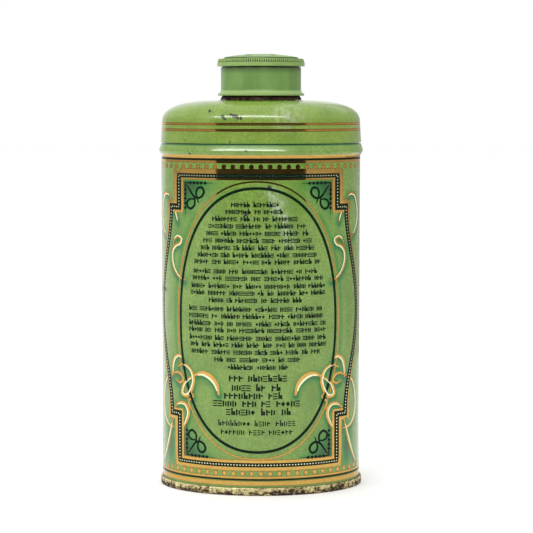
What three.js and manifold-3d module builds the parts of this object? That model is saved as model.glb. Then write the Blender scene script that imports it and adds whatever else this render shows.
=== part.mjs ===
// A talcum powder tin: an oval lithographed tinplate body with a double-seamed bottom end, a domed shoulder
// cover pressed over its top, a plain metal neck ferrule clinched into the shoulder, and a two-piece plastic
// twist closure, whose fixed collar carries the sieve and whose knurled dial turns to open it.
//
// Millimetres, +Z up. The origin is the middle of the base, X runs across the wide front and the front faces -Y.
// Each sheet-metal piece is given by the midline of its sheet, and each moulded piece by its outline.

import * as THREE from "three";
import { mergeVertices } from "three/addons/utils/BufferGeometryUtils.js";
import Module from "manifold-3d";

const wasm = await Module();
wasm.setup();

// ---------------------------------------------------------------- driving dimensions

// Tinplate
const SHEET = 0.2; // thickness of every tinplate piece
const FOLD_GAP = 0.04; // air left between the layers of a folded seam
const PUSH_FIT = 0.1; // clearance between sheet pieces pressed over each other

// Body: an oval tube, measured over its outer face
const BODY_HALF_WIDTH = 31;
const BODY_HALF_DEPTH = 21.7;
const BEAD_CENTRE = 105.1; // height of the stop bead's middle
const BEAD_HEIGHT = 3;
const BEAD_PROUD = 0.85; // how far the bead stands out of the wall
const BODY_NECK_LENGTH = 5.2; // the part of the tube above the bead, inside the shoulder cover

// Side seam: the folded lock seam that closes the tube, on the left narrow side
const SIDE_SEAM_WIDTH = 3;
const SIDE_SEAM_DEPTH = 0.55; // how far the fold stands into the tin
const SIDE_SEAM_END = 3; // left flat at each end, so that the end and the cover can pass

// Bottom end and its double seam
const SEAM_HEIGHT = 2.4;
const PANEL_RECESS = 2.7; // height of the bottom panel's sheet above the surface the tin stands on
const PANEL_CORNER = 0.5; // the panel's edge is broken by this much where it turns down

// Shoulder cover
const HEM_GAP = 0.7; // from the bead's upper edge to the cover's lower edge
const SKIRT_HEIGHT = 6.4;
const SKIRT_FLARE = 0.4; // the skirt widens by this much towards its lower edge
const SKIRT_INSET = 0.05; // the skirt's top lies this far inside the body's outer face
const SHOULDER_RISE = 6.9; // from the skirt to the flat land
const SHOULDER_POWER = 2.5; // 2 is an ellipse; more gives a squarer shoulder
const LAND_WIDTH = 2; // from the neck hole to the shoulder's curve, across the width
const LAND_DEPTH = 1.2; // the same across the depth, where the tin is narrower

// Neck ferrule
const NECK_RADIUS = 10.8; // outside of the tube
const NECK_FLARE = 1.8; // how far its foot bead stands out of the tube
const NECK_FOOT_HEIGHT = 2.6; // from the land to where the flare meets the tube
const NECK_FLARE_POWER = 1.4; // 1 is a straight cone; more gives a fuller bead
const NECK_HEIGHT = 4.5; // from the land to the top of the curl
const CURL_RADIUS = 0.3; // of the sheet's midline in the curled top edge
const CLINCH_WIDTH = 1.3; // turned out under the shoulder

// Closure: fixed collar
const COLLAR_LIFT = 1.4; // the collar's underside above the land
const COLLAR_HEIGHT = 8.8; // from the underside to the ledge that the dial turns above
const COLLAR_WALL = 0.75;
const COLLAR_FIT = 0.33; // from the curl to the collar's bore
const SNAP_FIT = 0.05; // from the curl to the collar's snap ring
const SNAP_HEIGHT = 0.5;
const FLANGE_PROUD = 0.97; // the foot flange beyond the collar's wall
const FLANGE_LIP = 0.45; // height of the flange's straight edge
const FLANGE_HEIGHT = 1.9;
const FLANGE_HOLLOW_OUT = 0.4; // the flange's hollow top bends where this much of its width is left
const FLANGE_HOLLOW_UP = 0.6; // and at this much of its height
const MOUTH_PROUD = 1.6; // the chamfered mouth beyond the outside of the neck
const SPIGOT_STEP = 0.4; // from the wall in to the spigot that the dial turns on
const PLATE = 1.2; // thickness of the sieve plate and of the dial's top
const SIEVE_CORNER = 0.4; // the bore's top edge is broken by this much
const DOME_RADIUS = 62; // of the dial's outer surface

// Closure: turning dial
const DIAL_GAP = 0.3; // from the collar's ledge up to the dial's lower edge
const DIAL_FIT = 0.15; // clearance between the dial and the collar, all round
const DIAL_RIM_WALL = 1.2; // from the dial's bore to the outside of its knurl
const DIAL_BAND_PROUD = 0.2; // the plain band below the knurl, beyond it
const DIAL_BAND_HEIGHT = 1.2;
const KNURL_HEIGHT = 1.1;
const KNURL_DEPTH = 0.28;
const KNURL_SINK = 0.4; // how far the ring of teeth is let into the rim and the band
const KNURL_BREAK = 0.14; // the teeth end this far below the rim's top
const KNURL_TEETH = 120;
const RIM_LAND = 1.9; // width of the flat ring between the knurl and the dome
const DOME_STEP = 0.5; // the dome's edge stands this far above the rim

// Sieve
const HOLES = 6;
const HOLE_RADIUS = 1.2;
const HOLE_CIRCLE = 7.6; // radius of the circle that the holes lie on
const TURN_DEG = 180 / HOLES; // the dial's travel from shut to open

// Dial's pivot stem and stop lug
const STEM_RADIUS = 2;
const BARB_PROUD = 0.6;
const BARB_HEIGHT = 1;
const BARB_TAPER = 0.6; // height of the barb's tapered end
const LUG_RADIUS = 0.6;
const LUG_CIRCLE = 4.4;
const LUG_LENGTH = 1; // below the dial's inner surface, into the slot

// Facets
const OVAL_FACETS = 64;
const ROUND_FACETS = 44;
const HOLE_FACETS = 14;

// ---------------------------------------------------------------- worked-out heights and radii

const SEAM_STEP = SHEET + FOLD_GAP; // from one layer of a fold to the next
const BEAD_TOP = BEAD_CENTRE + BEAD_HEIGHT / 2;
const HEM_Z = BEAD_TOP + HEM_GAP;
const SKIRT_TOP_Z = HEM_Z + SKIRT_HEIGHT;
const LAND_Z = SKIRT_TOP_Z + SHOULDER_RISE; // outer face of the shoulder's flat land
const COVER_HOLE = NECK_RADIUS + PUSH_FIT;
const BODY_NECK_INSET = SKIRT_INSET + SHEET + PUSH_FIT;
const COLLAR_BASE_Z = LAND_Z + COLLAR_LIFT;
const CURL_OUTSIDE = NECK_RADIUS - SHEET / 2 + 2 * CURL_RADIUS + SHEET / 2;
const COLLAR_BORE = CURL_OUTSIDE + COLLAR_FIT;
const COLLAR_RADIUS = COLLAR_BORE + COLLAR_WALL;
const LEDGE_Z = COLLAR_BASE_Z + COLLAR_HEIGHT;
const DIAL_BASE_Z = LEDGE_Z + DIAL_GAP;
const SPIGOT_RADIUS = COLLAR_RADIUS - SPIGOT_STEP;
const DIAL_BORE = SPIGOT_RADIUS + DIAL_FIT;
const KNURL_RADIUS = DIAL_BORE + DIAL_RIM_WALL;
const KNURL_BASE_Z = DIAL_BASE_Z + DIAL_BAND_HEIGHT;
const RIM_Z = KNURL_BASE_Z + KNURL_HEIGHT;
const DOME_EDGE = KNURL_RADIUS - RIM_LAND;
const DOME_TOP_Z = RIM_Z + DOME_STEP + domeDrop(DOME_EDGE);
const DIAL_INNER_TOP_Z = DOME_TOP_Z - PLATE;
const SIEVE_TOP_Z = DIAL_INNER_TOP_Z - DIAL_FIT;
const SIEVE_UNDER_Z = SIEVE_TOP_Z - PLATE;

// How far the domed surface has dropped at a given radius.
function domeDrop(radius) {
  return DOME_RADIUS - Math.sqrt(DOME_RADIUS ** 2 - radius ** 2);
}

// ---------------------------------------------------------------- shape helpers

// A point of a section: half width along X, half depth along Y, and height.
const oval = (width, depth, z) => ({ width, depth, z });
const onBody = (offset, z) => oval(BODY_HALF_WIDTH + offset, BODY_HALF_DEPTH + offset, z);
const round = (radius, z) => oval(radius, radius, z);

// Evenly spaced values from a to b, both included.
function steps(a, b, count) {
  return Array.from({ length: count + 1 }, (_, i) => a + ((b - a) * i) / count);
}

// The closed outline of a sheet of the given thickness whose midline is the path. Corners are mitred.
function sheetOutline(path, thickness) {
  const direction = path.slice(1).map((p, i) => {
    const run = new THREE.Vector2(p.width - path[i].width, p.z - path[i].z);
    return run.normalize();
  });
  const side = (p, i, sign) => {
    const before = direction[Math.max(i - 1, 0)];
    const after = direction[Math.min(i, direction.length - 1)];
    const along = before.clone().add(after).normalize();
    const reach = ((sign * thickness) / 2) / Math.max(along.dot(before), 0.5);
    const out = -along.y * reach;
    const onAxis = p.width === 0;
    return oval(onAxis ? 0 : p.width + out, onAxis ? 0 : p.depth + out, p.z + along.x * reach);
  };
  const left = path.map((p, i) => side(p, i, 1));
  const right = path.map((p, i) => side(p, i, -1));
  return [...left, ...right.reverse()];
}

// The solid swept by a closed outline round the Z axis, on ovals of each point's width and depth.
function sweepRound(outline, facets) {
  const area = outline.reduce((sum, p, i) => {
    const q = outline[(i + 1) % outline.length];
    return sum + p.width * q.z - q.width * p.z;
  }, 0);
  const points = area < 0 ? [...outline].reverse() : outline;
  const position = [];
  for (let k = 0; k < facets; k++) {
    const angle = (2 * Math.PI * k) / facets;
    for (const p of points) {
      position.push(p.width * Math.cos(angle), p.depth * Math.sin(angle), p.z);
    }
  }
  const index = [];
  for (let k = 0; k < facets; k++) {
    const here = k * points.length;
    const next = ((k + 1) % facets) * points.length;
    points.forEach((p, i) => {
      const j = (i + 1) % points.length;
      if (p.width > 0) index.push(here + i, next + i, next + j);
      if (points[j].width > 0) index.push(here + i, next + j, here + j);
    });
  }
  const geometry = new THREE.BufferGeometry();
  geometry.setAttribute("position", new THREE.Float32BufferAttribute(position, 3));
  geometry.setIndex(index);
  return geometry;
}

// A closed three.js geometry as a manifold-3d solid.
function toSolid(geometry) {
  const bare = geometry.clone();
  bare.deleteAttribute("normal");
  bare.deleteAttribute("uv");
  const merged = mergeVertices(bare, 1e-4);
  const index = merged.index.array;
  const triVerts = [];
  for (let i = 0; i < index.length; i += 3) {
    const [a, b, c] = index.slice(i, i + 3);
    if (a !== b && b !== c && c !== a) triVerts.push(a, b, c);
  }
  const vertProperties = merged.attributes.position.array;
  return new wasm.Manifold(new wasm.Mesh({ numProp: 3, vertProperties, triVerts: new Uint32Array(triVerts) }));
}

// A manifold-3d solid as a three.js geometry.
function toGeometry(solid) {
  const mesh = solid.getMesh();
  const geometry = new THREE.BufferGeometry();
  geometry.setAttribute("position", new THREE.BufferAttribute(mesh.vertProperties, 3));
  geometry.setIndex(new THREE.BufferAttribute(mesh.triVerts, 1));
  geometry.computeVertexNormals();
  return geometry;
}

// An upright cylinder from one height to another, with its axis at (x, y).
function post(x, y, radius, fromZ, toZ, facets = HOLE_FACETS) {
  const geometry = new THREE.CylinderGeometry(radius, radius, toZ - fromZ, facets);
  geometry.rotateX(Math.PI / 2);
  geometry.translate(x, y, (fromZ + toZ) / 2);
  return toSolid(geometry);
}

// A flat shape pulled up from one height to another.
function pulledUp(shape, fromZ, toZ) {
  const geometry = new THREE.ExtrudeGeometry(shape, { depth: toZ - fromZ, bevelEnabled: false });
  geometry.translate(0, 0, fromZ);
  return toSolid(geometry);
}

// The sieve's ring of holes as posts, turned by an angle in degrees.
function sievePosts(turn, fromZ, toZ) {
  return steps(0, HOLES - 1, HOLES - 1).map((i) => {
    const angle = THREE.MathUtils.degToRad(turn + (360 * i) / HOLES);
    return post(HOLE_CIRCLE * Math.cos(angle), HOLE_CIRCLE * Math.sin(angle), HOLE_RADIUS, fromZ, toZ);
  });
}

// A short arc of a domed surface, from one radius to another, whose top is at a given height.
function domeArc(topZ, fromRadius, toRadius, count) {
  return steps(fromRadius, toRadius, count).map((r) => round(r, topZ - domeDrop(r)));
}

// ---------------------------------------------------------------- tinplate pieces

// The tube: hooked out and up into the bottom seam, beaded near the top, and drawn in above the bead.
function bodyShell() {
  const wall = -SHEET / 2;
  const hook = 2 * FOLD_GAP + 1.5 * SHEET;
  const turnZ = SHEET + FOLD_GAP + SHEET / 2;
  const neck = -BODY_NECK_INSET - SHEET / 2;
  const bead = steps(0, Math.PI, 6).map((angle) => {
    const rise = (1 - Math.cos(angle)) / 2;
    const out = wall + BEAD_PROUD * Math.sin(angle) + (neck - wall) * rise ** 2;
    return onBody(out, BEAD_CENTRE - BEAD_HEIGHT / 2 + BEAD_HEIGHT * rise);
  });
  const midline = [
    onBody(hook, SEAM_HEIGHT - SEAM_STEP - FOLD_GAP),
    onBody(hook, turnZ),
    onBody(wall, turnZ),
    ...bead,
    onBody(neck, BEAD_TOP + BODY_NECK_LENGTH),
  ];
  const tube = toSolid(sweepRound(sheetOutline(midline, SHEET), OVAL_FACETS));
  return toGeometry(tube.add(sideSeam()));
}

// The fold of the lock seam, standing into the tin from the left end of the oval.
function sideSeam() {
  const fromZ = SEAM_HEIGHT + SIDE_SEAM_END;
  const toZ = BEAD_CENTRE - BEAD_HEIGHT / 2 - SIDE_SEAM_END;
  const depth = SIDE_SEAM_DEPTH + SHEET / 2;
  const strip = new THREE.BoxGeometry(depth, SIDE_SEAM_WIDTH, toZ - fromZ);
  const middle = -(BODY_HALF_WIDTH - SHEET / 2 - depth / 2);
  strip.translate(middle + sideSeamSag(), 0, (fromZ + toZ) / 2);
  return toSolid(strip);
}

// The oval falls back by this much over half the seam's width, so the flat strip is set in by it.
function sideSeamSag() {
  const half = SIDE_SEAM_WIDTH / 2 / BODY_HALF_DEPTH;
  return BODY_HALF_WIDTH * (1 - Math.sqrt(1 - half ** 2));
}

// The stamped bottom: a recessed panel, a wall down inside the body, and a hook out and over the body's own.
function bottomEnd() {
  const inside = -SHEET - PUSH_FIT - SHEET / 2;
  const outside = 3 * FOLD_GAP + 2.5 * SHEET;
  const hook = FOLD_GAP + SHEET / 2;
  const baseZ = SHEET / 2;
  const topZ = SEAM_HEIGHT - SHEET / 2;
  const hookEndZ = 2 * SEAM_STEP + 2 * FOLD_GAP;
  const midline = [
    oval(0, 0, PANEL_RECESS),
    onBody(inside - PANEL_CORNER, PANEL_RECESS),
    onBody(inside, PANEL_RECESS - PANEL_CORNER),
    onBody(inside, baseZ),
    onBody(outside, baseZ),
    onBody(outside, topZ),
    onBody(hook, topZ),
    onBody(hook, hookEndZ),
  ];
  return sweepRound(sheetOutline(midline, SHEET), OVAL_FACETS);
}

// The domed cover: a slightly flared skirt, a rounded shoulder, and a flat land round the neck hole.
function shoulderCover() {
  const top = -SKIRT_INSET - SHEET / 2;
  const landEdge = oval(COVER_HOLE + LAND_WIDTH, COVER_HOLE + LAND_DEPTH, LAND_Z - SHEET / 2);
  const start = onBody(top, SKIRT_TOP_Z);
  const curve = steps(0, Math.PI / 2, 8).map((angle) => {
    const out = Math.cos(angle) ** (2 / SHOULDER_POWER);
    const up = Math.sin(angle) ** (2 / SHOULDER_POWER);
    return oval(
      landEdge.width + (start.width - landEdge.width) * (angle === Math.PI / 2 ? 0 : out),
      landEdge.depth + (start.depth - landEdge.depth) * (angle === Math.PI / 2 ? 0 : out),
      start.z + (landEdge.z - start.z) * up,
    );
  });
  const midline = [
    onBody(top + SKIRT_FLARE, HEM_Z),
    ...curve,
    round(COVER_HOLE, LAND_Z - SHEET / 2),
  ];
  return sweepRound(sheetOutline(midline, SHEET), OVAL_FACETS);
}

// The neck: clinched under the shoulder, folded out into a flared foot above it, and curled over at the top.
function neckFerrule() {
  const wall = NECK_RADIUS - SHEET / 2;
  const underZ = LAND_Z - SHEET - FOLD_GAP - SHEET / 2;
  const footZ = LAND_Z + FOLD_GAP + SHEET / 2;
  const flareZ = footZ + SHEET;
  const flare = steps(0, 1, 4).map((t) => {
    return round(wall + NECK_FLARE * (1 - t ** NECK_FLARE_POWER), flareZ + (LAND_Z + NECK_FOOT_HEIGHT - flareZ) * t);
  });
  const curl = steps(0, Math.PI, 4).map((angle) => {
    const centreZ = LAND_Z + NECK_HEIGHT - CURL_RADIUS - SHEET / 2;
    return round(wall + CURL_RADIUS * (1 - Math.cos(angle)), centreZ + CURL_RADIUS * Math.sin(angle));
  });
  const midline = [
    round(wall + CLINCH_WIDTH, underZ),
    round(wall, underZ),
    round(wall, footZ),
    round(wall + NECK_FLARE, footZ),
    ...flare,
    ...curl,
  ];
  return sweepRound(sheetOutline(midline, SHEET), ROUND_FACETS);
}

// ---------------------------------------------------------------- moulded pieces

// The fixed collar: a foot flange, a straight wall with a snap ring inside, and a domed sieve plate on a spigot.
function sifterCollar() {
  const curlUnderZ = LAND_Z + NECK_HEIGHT - SHEET - 2 * CURL_RADIUS;
  const snapRadius = CURL_OUTSIDE + SNAP_FIT;
  const mouth = NECK_RADIUS + MOUTH_PROUD;
  const outline = [
    round(mouth, COLLAR_BASE_Z),
    round(COLLAR_RADIUS + FLANGE_PROUD, COLLAR_BASE_Z),
    round(COLLAR_RADIUS + FLANGE_PROUD, COLLAR_BASE_Z + FLANGE_LIP),
    round(COLLAR_RADIUS + FLANGE_PROUD * FLANGE_HOLLOW_OUT, COLLAR_BASE_Z + FLANGE_HEIGHT * FLANGE_HOLLOW_UP),
    round(COLLAR_RADIUS, COLLAR_BASE_Z + FLANGE_HEIGHT),
    round(COLLAR_RADIUS, LEDGE_Z),
    round(SPIGOT_RADIUS, LEDGE_Z),
    ...domeArc(SIEVE_TOP_Z, SPIGOT_RADIUS, STEM_RADIUS + DIAL_FIT, 4),
    ...domeArc(SIEVE_UNDER_Z, STEM_RADIUS + DIAL_FIT, COLLAR_BORE - SIEVE_CORNER, 4),
    round(COLLAR_BORE, SIEVE_UNDER_Z - domeDrop(COLLAR_BORE) - SIEVE_CORNER),
    round(COLLAR_BORE, curlUnderZ - SNAP_HEIGHT / 2),
    round(snapRadius, curlUnderZ - SNAP_HEIGHT),
    round(COLLAR_BORE, curlUnderZ - 1.5 * SNAP_HEIGHT),
    round(COLLAR_BORE, COLLAR_BASE_Z + mouth - COLLAR_BORE),
  ];
  let collar = toSolid(sweepRound(outline, ROUND_FACETS));
  const low = SIEVE_UNDER_Z - 2 * PLATE;
  const high = SIEVE_TOP_Z + PLATE;
  for (const hole of sievePosts(TURN_DEG, low, high)) collar = collar.subtract(hole);
  return toGeometry(collar.subtract(stopSlot(low, high)));
}

// The slot that the dial's lug runs in. It ends where the dial is shut and where it is open.
function stopSlot(fromZ, toZ) {
  const half = LUG_RADIUS + DIAL_FIT;
  const turn = THREE.MathUtils.degToRad(TURN_DEG);
  const slot = new THREE.Shape();
  slot.absarc(0, 0, LUG_CIRCLE + half, 0, turn, false);
  slot.absarc(LUG_CIRCLE * Math.cos(turn), LUG_CIRCLE * Math.sin(turn), half, turn, turn + Math.PI, false);
  slot.absarc(0, 0, LUG_CIRCLE - half, turn, 0, true);
  slot.absarc(LUG_CIRCLE, 0, half, Math.PI, 2 * Math.PI, false);
  const geometry = new THREE.ExtrudeGeometry(slot, { depth: toZ - fromZ, bevelEnabled: false, curveSegments: 8 });
  geometry.translate(0, 0, fromZ);
  return toSolid(geometry);
}

// The dial: a domed top with the sieve's holes, a knurled rim over a plain band, and a barbed pivot stem.
function turnDial() {
  const barb = STEM_RADIUS + BARB_PROUD;
  const barbTopZ = SIEVE_UNDER_Z - domeDrop(barb) - DIAL_FIT;
  const knurlRoot = KNURL_RADIUS - KNURL_DEPTH;
  const band = KNURL_RADIUS + DIAL_BAND_PROUD;
  const outline = [
    round(0, barbTopZ - BARB_HEIGHT),
    round(STEM_RADIUS, barbTopZ - BARB_HEIGHT),
    round(barb, barbTopZ - BARB_HEIGHT + BARB_TAPER),
    round(barb, barbTopZ),
    round(STEM_RADIUS, barbTopZ),
    ...domeArc(DIAL_INNER_TOP_Z, STEM_RADIUS, DIAL_BORE, 4),
    round(DIAL_BORE, DIAL_BASE_Z),
    round(band, DIAL_BASE_Z),
    round(band, KNURL_BASE_Z),
    round(knurlRoot, KNURL_BASE_Z),
    round(knurlRoot, RIM_Z),
    round(DOME_EDGE + DOME_STEP / 2, RIM_Z),
    ...domeArc(DOME_TOP_Z, DOME_EDGE, 0, 5),
  ];
  let dial = toSolid(sweepRound(outline, ROUND_FACETS)).add(knurlRing(knurlRoot));
  const lugTopZ = DIAL_INNER_TOP_Z - domeDrop(LUG_CIRCLE);
  dial = dial.add(post(LUG_CIRCLE, 0, LUG_RADIUS, lugTopZ - DIAL_FIT - LUG_LENGTH, lugTopZ + PLATE / 2));
  for (const hole of sievePosts(0, DIAL_BASE_Z, DOME_TOP_Z + PLATE)) dial = dial.subtract(hole);
  return toGeometry(dial);
}

// The ring of fine upright teeth round the rim.
function knurlRing(root) {
  const teeth = new THREE.Shape();
  for (let i = 0; i < 2 * KNURL_TEETH; i++) {
    const angle = (Math.PI * i) / KNURL_TEETH;
    const radius = i % 2 ? root : KNURL_RADIUS;
    const [x, y] = [radius * Math.cos(angle), radius * Math.sin(angle)];
    if (i === 0) teeth.moveTo(x, y);
    else teeth.lineTo(x, y);
  }
  teeth.closePath();
  const bore = new THREE.Path();
  bore.absarc(0, 0, root - KNURL_SINK, 0, 2 * Math.PI, true);
  teeth.holes.push(bore);
  return pulledUp(teeth, KNURL_BASE_Z - KNURL_SINK, RIM_Z - KNURL_BREAK);
}

// ---------------------------------------------------------------- the assembly

function piece(name, geometry, material) {
  const mesh = new THREE.Mesh(geometry, material);
  mesh.name = name;
  return mesh;
}

function finish(color, roughness, metalness) {
  return new THREE.MeshStandardMaterial({ color, roughness, metalness });
}

const greenEnamel = finish(0x8fae5e, 0.3, 0);
const lacqueredTin = finish(0xb59a5b, 0.35, 0.9);
const bareTin = finish(0x4a4038, 0.55, 0.8);
const greenPlastic = finish(0x78a055, 0.4, 0);

const tin = new THREE.Group();
tin.add(
  piece("body_shell", bodyShell(), greenEnamel),
  piece("bottom_end", bottomEnd(), lacqueredTin),
  piece("shoulder_cover", shoulderCover(), greenEnamel),
  piece("neck_ferrule", neckFerrule(), bareTin),
);

const closure = new THREE.Group();
closure.add(
  piece("sifter_collar", sifterCollar(), greenPlastic),
  piece("turn_dial", turnDial(), greenPlastic),
);
tin.add(closure);

export default tin;
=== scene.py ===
import bmesh
import bpy
import numpy as np
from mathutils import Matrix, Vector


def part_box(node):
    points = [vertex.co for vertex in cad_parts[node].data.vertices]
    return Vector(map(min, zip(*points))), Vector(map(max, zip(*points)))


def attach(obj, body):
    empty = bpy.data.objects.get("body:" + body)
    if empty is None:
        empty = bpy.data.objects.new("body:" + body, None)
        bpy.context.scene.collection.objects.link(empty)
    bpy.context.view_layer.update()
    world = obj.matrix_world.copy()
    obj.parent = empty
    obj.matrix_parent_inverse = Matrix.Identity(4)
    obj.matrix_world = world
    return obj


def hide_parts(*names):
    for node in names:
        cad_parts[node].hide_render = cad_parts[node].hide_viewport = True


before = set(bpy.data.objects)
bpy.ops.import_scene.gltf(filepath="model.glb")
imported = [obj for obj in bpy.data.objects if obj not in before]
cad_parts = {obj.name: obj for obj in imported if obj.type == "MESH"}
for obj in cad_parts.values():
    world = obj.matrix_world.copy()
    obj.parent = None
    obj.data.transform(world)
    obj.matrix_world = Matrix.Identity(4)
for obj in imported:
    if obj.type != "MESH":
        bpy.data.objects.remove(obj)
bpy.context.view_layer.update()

# ---------------------------------------------------------------- body shell
# The tin's wall: one sheet of tinplate bent to an oval and lock-seamed down its left narrow side. It is
# printed green outside, rolled out into a bead near the top to stop the cover, and drawn in above the bead.

MM = 0.001
sheet_thickness = 0.2
tin_half_width = 31.0
tin_half_depth = 21.7
bead_foot, bead_peak, bead_top, bead_proud = 103.55, 105.15, 107.15, 0.85
bead_shoulder = 0.25
neck_in = 0.35
neck_top = 111.8
draw_in_run = 0.05
wall_foot = 0.34
seam_turn = 0.48
seam_hook_top = 2.12
stiff_foot, stiff_top, stiff_fade = 6, 100, 12
wall_dent = 0.045
seam_half_width, fold_height, fold_edge = 1.35, 0.11, 0.15
groove_depth, groove_offset, groove_width = 0.12, 0.3, 0.17
seam_run_out = 1.5
bare_margin = 0.1


def steps(first, last, count):
    """Evenly spaced values from first to last, both included."""
    return np.linspace(first, last, count)


def round_angles(count, fine_at=None, fine_reach=0.13, fine_count=44):
    """Angles once round the tin from its front's middle, with a finer stretch about one angle if asked."""
    turn = np.linspace(0, 2 * np.pi, count, endpoint=False)
    if fine_at is None:
        return turn
    rough = turn[np.abs(turn - fine_at) > fine_reach]
    return np.sort(np.concatenate([rough, fine_at + np.linspace(-fine_reach, fine_reach, fine_count)]))


def sheet_section(grow, height, thickness):
    """The closed outline of a bent sheet. Each point of the midline moves half the thickness along the
    normal, which is the mean of its two neighbouring directions turned a quarter, and lengthened at a sharp
    corner up to a limit."""
    run = np.stack([np.diff(grow), np.diff(height)], 1)
    run /= np.linalg.norm(run, axis=1, keepdims=True)
    before, after = np.vstack([run[:1], run]), np.vstack([run, run[-1:]])
    along = before + after
    along /= np.linalg.norm(along, axis=1, keepdims=True)
    least_cosine = 0.5
    reach = thickness / 2 / np.maximum((along * before).sum(1), least_cosine)
    out, up = -along[:, 1] * reach, along[:, 0] * reach
    return (np.concatenate([grow + out, (grow - out)[::-1]]),
            np.concatenate([height + up, (height - up)[::-1]]))


def make_skin(name, points, faces):
    """A mesh object from points in millimetres. A closed skin is turned inside out if its volume,
    a sixth of the sum of each corner's triple product, comes out negative."""
    mesh = bpy.data.meshes.new(name)
    mesh.from_pydata((points * MM).tolist(), [], faces)
    mesh.update()
    mesh.calc_loop_triangles()
    corner = np.zeros(len(mesh.loop_triangles) * 3, np.int32)
    mesh.loop_triangles.foreach_get("vertices", corner)
    a, b, c = np.moveaxis(points[corner.reshape(-1, 3)], 1, 0)
    if np.einsum("ij,ij->i", a, np.cross(b, c)).sum() < 0:
        mesh.flip_normals()
    mesh.shade_smooth()
    piece = bpy.data.objects.new(name, mesh)
    bpy.context.scene.collection.objects.link(piece)
    return piece


def swept_skin(name, width, depth, height, angles):
    """A section carried round the tin: each point is (width sin t, -depth cos t, height) at its row and its
    angle t. A section that starts and ends on the axis is closed by fans there, and any other closes on
    itself."""
    shape = (len(np.atleast_1d(height)), len(angles))
    wide, deep, high = (np.broadcast_to(np.reshape(size, (shape[0], -1)), shape)
                        for size in (width, depth, height))
    grid = np.stack([wide * np.sin(angles), -deep * np.cos(angles), high], 2)
    number = np.arange(shape[0] * shape[1]).reshape(shape)
    on_axis = np.allclose(wide[0], 0) and np.allclose(wide[-1], 0)
    if on_axis:
        number = np.maximum(number - shape[1] + 1, 0)
        number[-1] = number[-2, -1] + 1
        points = np.vstack([grid[:1, 0], grid[1:-1].reshape(-1, 3), grid[-1:, 0]])
    else:
        number = np.vstack([number, number[:1]])
        points = grid.reshape(-1, 3)
    here, beyond = number, np.roll(number, -1, 1)
    quads = np.stack([here[:-1], beyond[:-1], beyond[1:], here[1:]], 2)
    if not on_axis:
        return make_skin(name, points, quads.reshape(-1, 4).tolist())
    first, last = quads[0][:, [0, 2, 3]], quads[-1][:, [0, 1, 3]]
    return make_skin(name, points, quads[1:-1].reshape(-1, 4).tolist() + first.tolist() + last.tolist())


def keep_edges(piece, angle_deg=32):
    """Shades a piece smooth except where its faces meet at more than the angle."""
    piece.data.set_sharp_from_angle(angle=np.radians(angle_deg))


def set_mask(piece, name, values):
    """Stores one number per point, for the piece's finish to read."""
    mask = piece.data.attributes.new(name, "FLOAT", "POINT")
    mask.data.foreach_set("value", np.clip(values, 0, 1).astype(np.float32))


def points_of(piece):
    """A piece's points in millimetres, one row each."""
    flat = np.zeros(len(piece.data.vertices) * 3, np.float32)
    piece.data.vertices.foreach_get("co", flat)
    return flat.reshape(-1, 3) / MM


def waves(angle, height, seed, size):
    """Slow random ripples: a sum of cosines in the angle and height, with whole numbers of waves round."""
    random = np.random.default_rng(seed)
    total = 0
    for count in (2, 3, 5, 7, 11):
        phase, climb = random.uniform(0, 2 * np.pi), random.uniform(0.02, 0.12)
        total = total + np.cos(count * angle + climb * height + phase) / count
    return size * total


seam_angle = 1.5 * np.pi
body_angles = round_angles(236, fine_at=seam_angle)
bead_rows = np.concatenate([steps(bead_foot, bead_peak, 12)[1:], steps(bead_peak, bead_top, 12)[1:]])


def wall_grow(height):
    """How far the wall's outer face stands out at a height: nothing below the bead, then its under curve, a
    raised quarter sine, and above its peak a slope that falls as a power towards the cover's hem."""
    under = np.sin(np.clip((height - bead_foot) / (bead_peak - bead_foot), 0, 1) * np.pi / 2) ** 1.3
    over = np.clip((height - bead_peak) / (bead_top - bead_peak), 0, 1) ** 1.2
    return bead_proud * under - (bead_proud - bead_shoulder) * over


wall_mid = -sheet_thickness / 2
neck_mid = -neck_in - sheet_thickness / 2
wall_rows = steps(wall_foot, bead_foot, 94)
body_grow = np.concatenate([
    [seam_turn, seam_turn],
    np.full(len(wall_rows), wall_mid),
    wall_mid + wall_grow(bead_rows),
    [neck_mid, neck_mid],
])
body_rows = np.concatenate([
    [seam_hook_top, wall_foot],
    wall_rows,
    bead_rows,
    [bead_top + draw_in_run, neck_top],
])
body_grow, body_rows = sheet_section(body_grow, body_rows, sheet_thickness)
tin_angle = body_angles[None, :]
tin_height = body_rows[:, None]


def wall_dents(angle, height):
    """The wall's slow dents, which die out towards its stiff ends."""
    open_wall = np.clip((height - stiff_foot) / stiff_fade, 0, 1) \
        * np.clip((stiff_top - height) / stiff_fade, 0, 1)
    return waves(angle, height, 3, wall_dent) * open_wall


# The side seam: a flattened fold that stands a little proud, with a groove down each of its edges.
seam_across = np.abs((tin_angle - seam_angle) * tin_half_depth)
below_bead = np.clip((bead_foot - tin_height) / seam_run_out, 0, 1)
seam_fold = fold_height * np.clip((seam_half_width - seam_across) / fold_edge + 0.5, 0, 1)
seam_groove = groove_depth * np.exp(-((seam_across - seam_half_width - groove_offset) / groove_width) ** 2)
seam_relief = (seam_fold - seam_groove) * below_bead
body_shape = body_grow[:, None] + wall_dents(tin_angle, tin_height) + seam_relief
body = swept_skin("tin_body", tin_half_width + body_shape, tin_half_depth + body_shape, body_rows,
                  body_angles)
keep_edges(body)
on_seam = (seam_across < seam_half_width + bare_margin) & (tin_height < bead_foot)
set_mask(body, "bare", np.broadcast_to(on_seam, body_shape.shape).reshape(-1))


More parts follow.
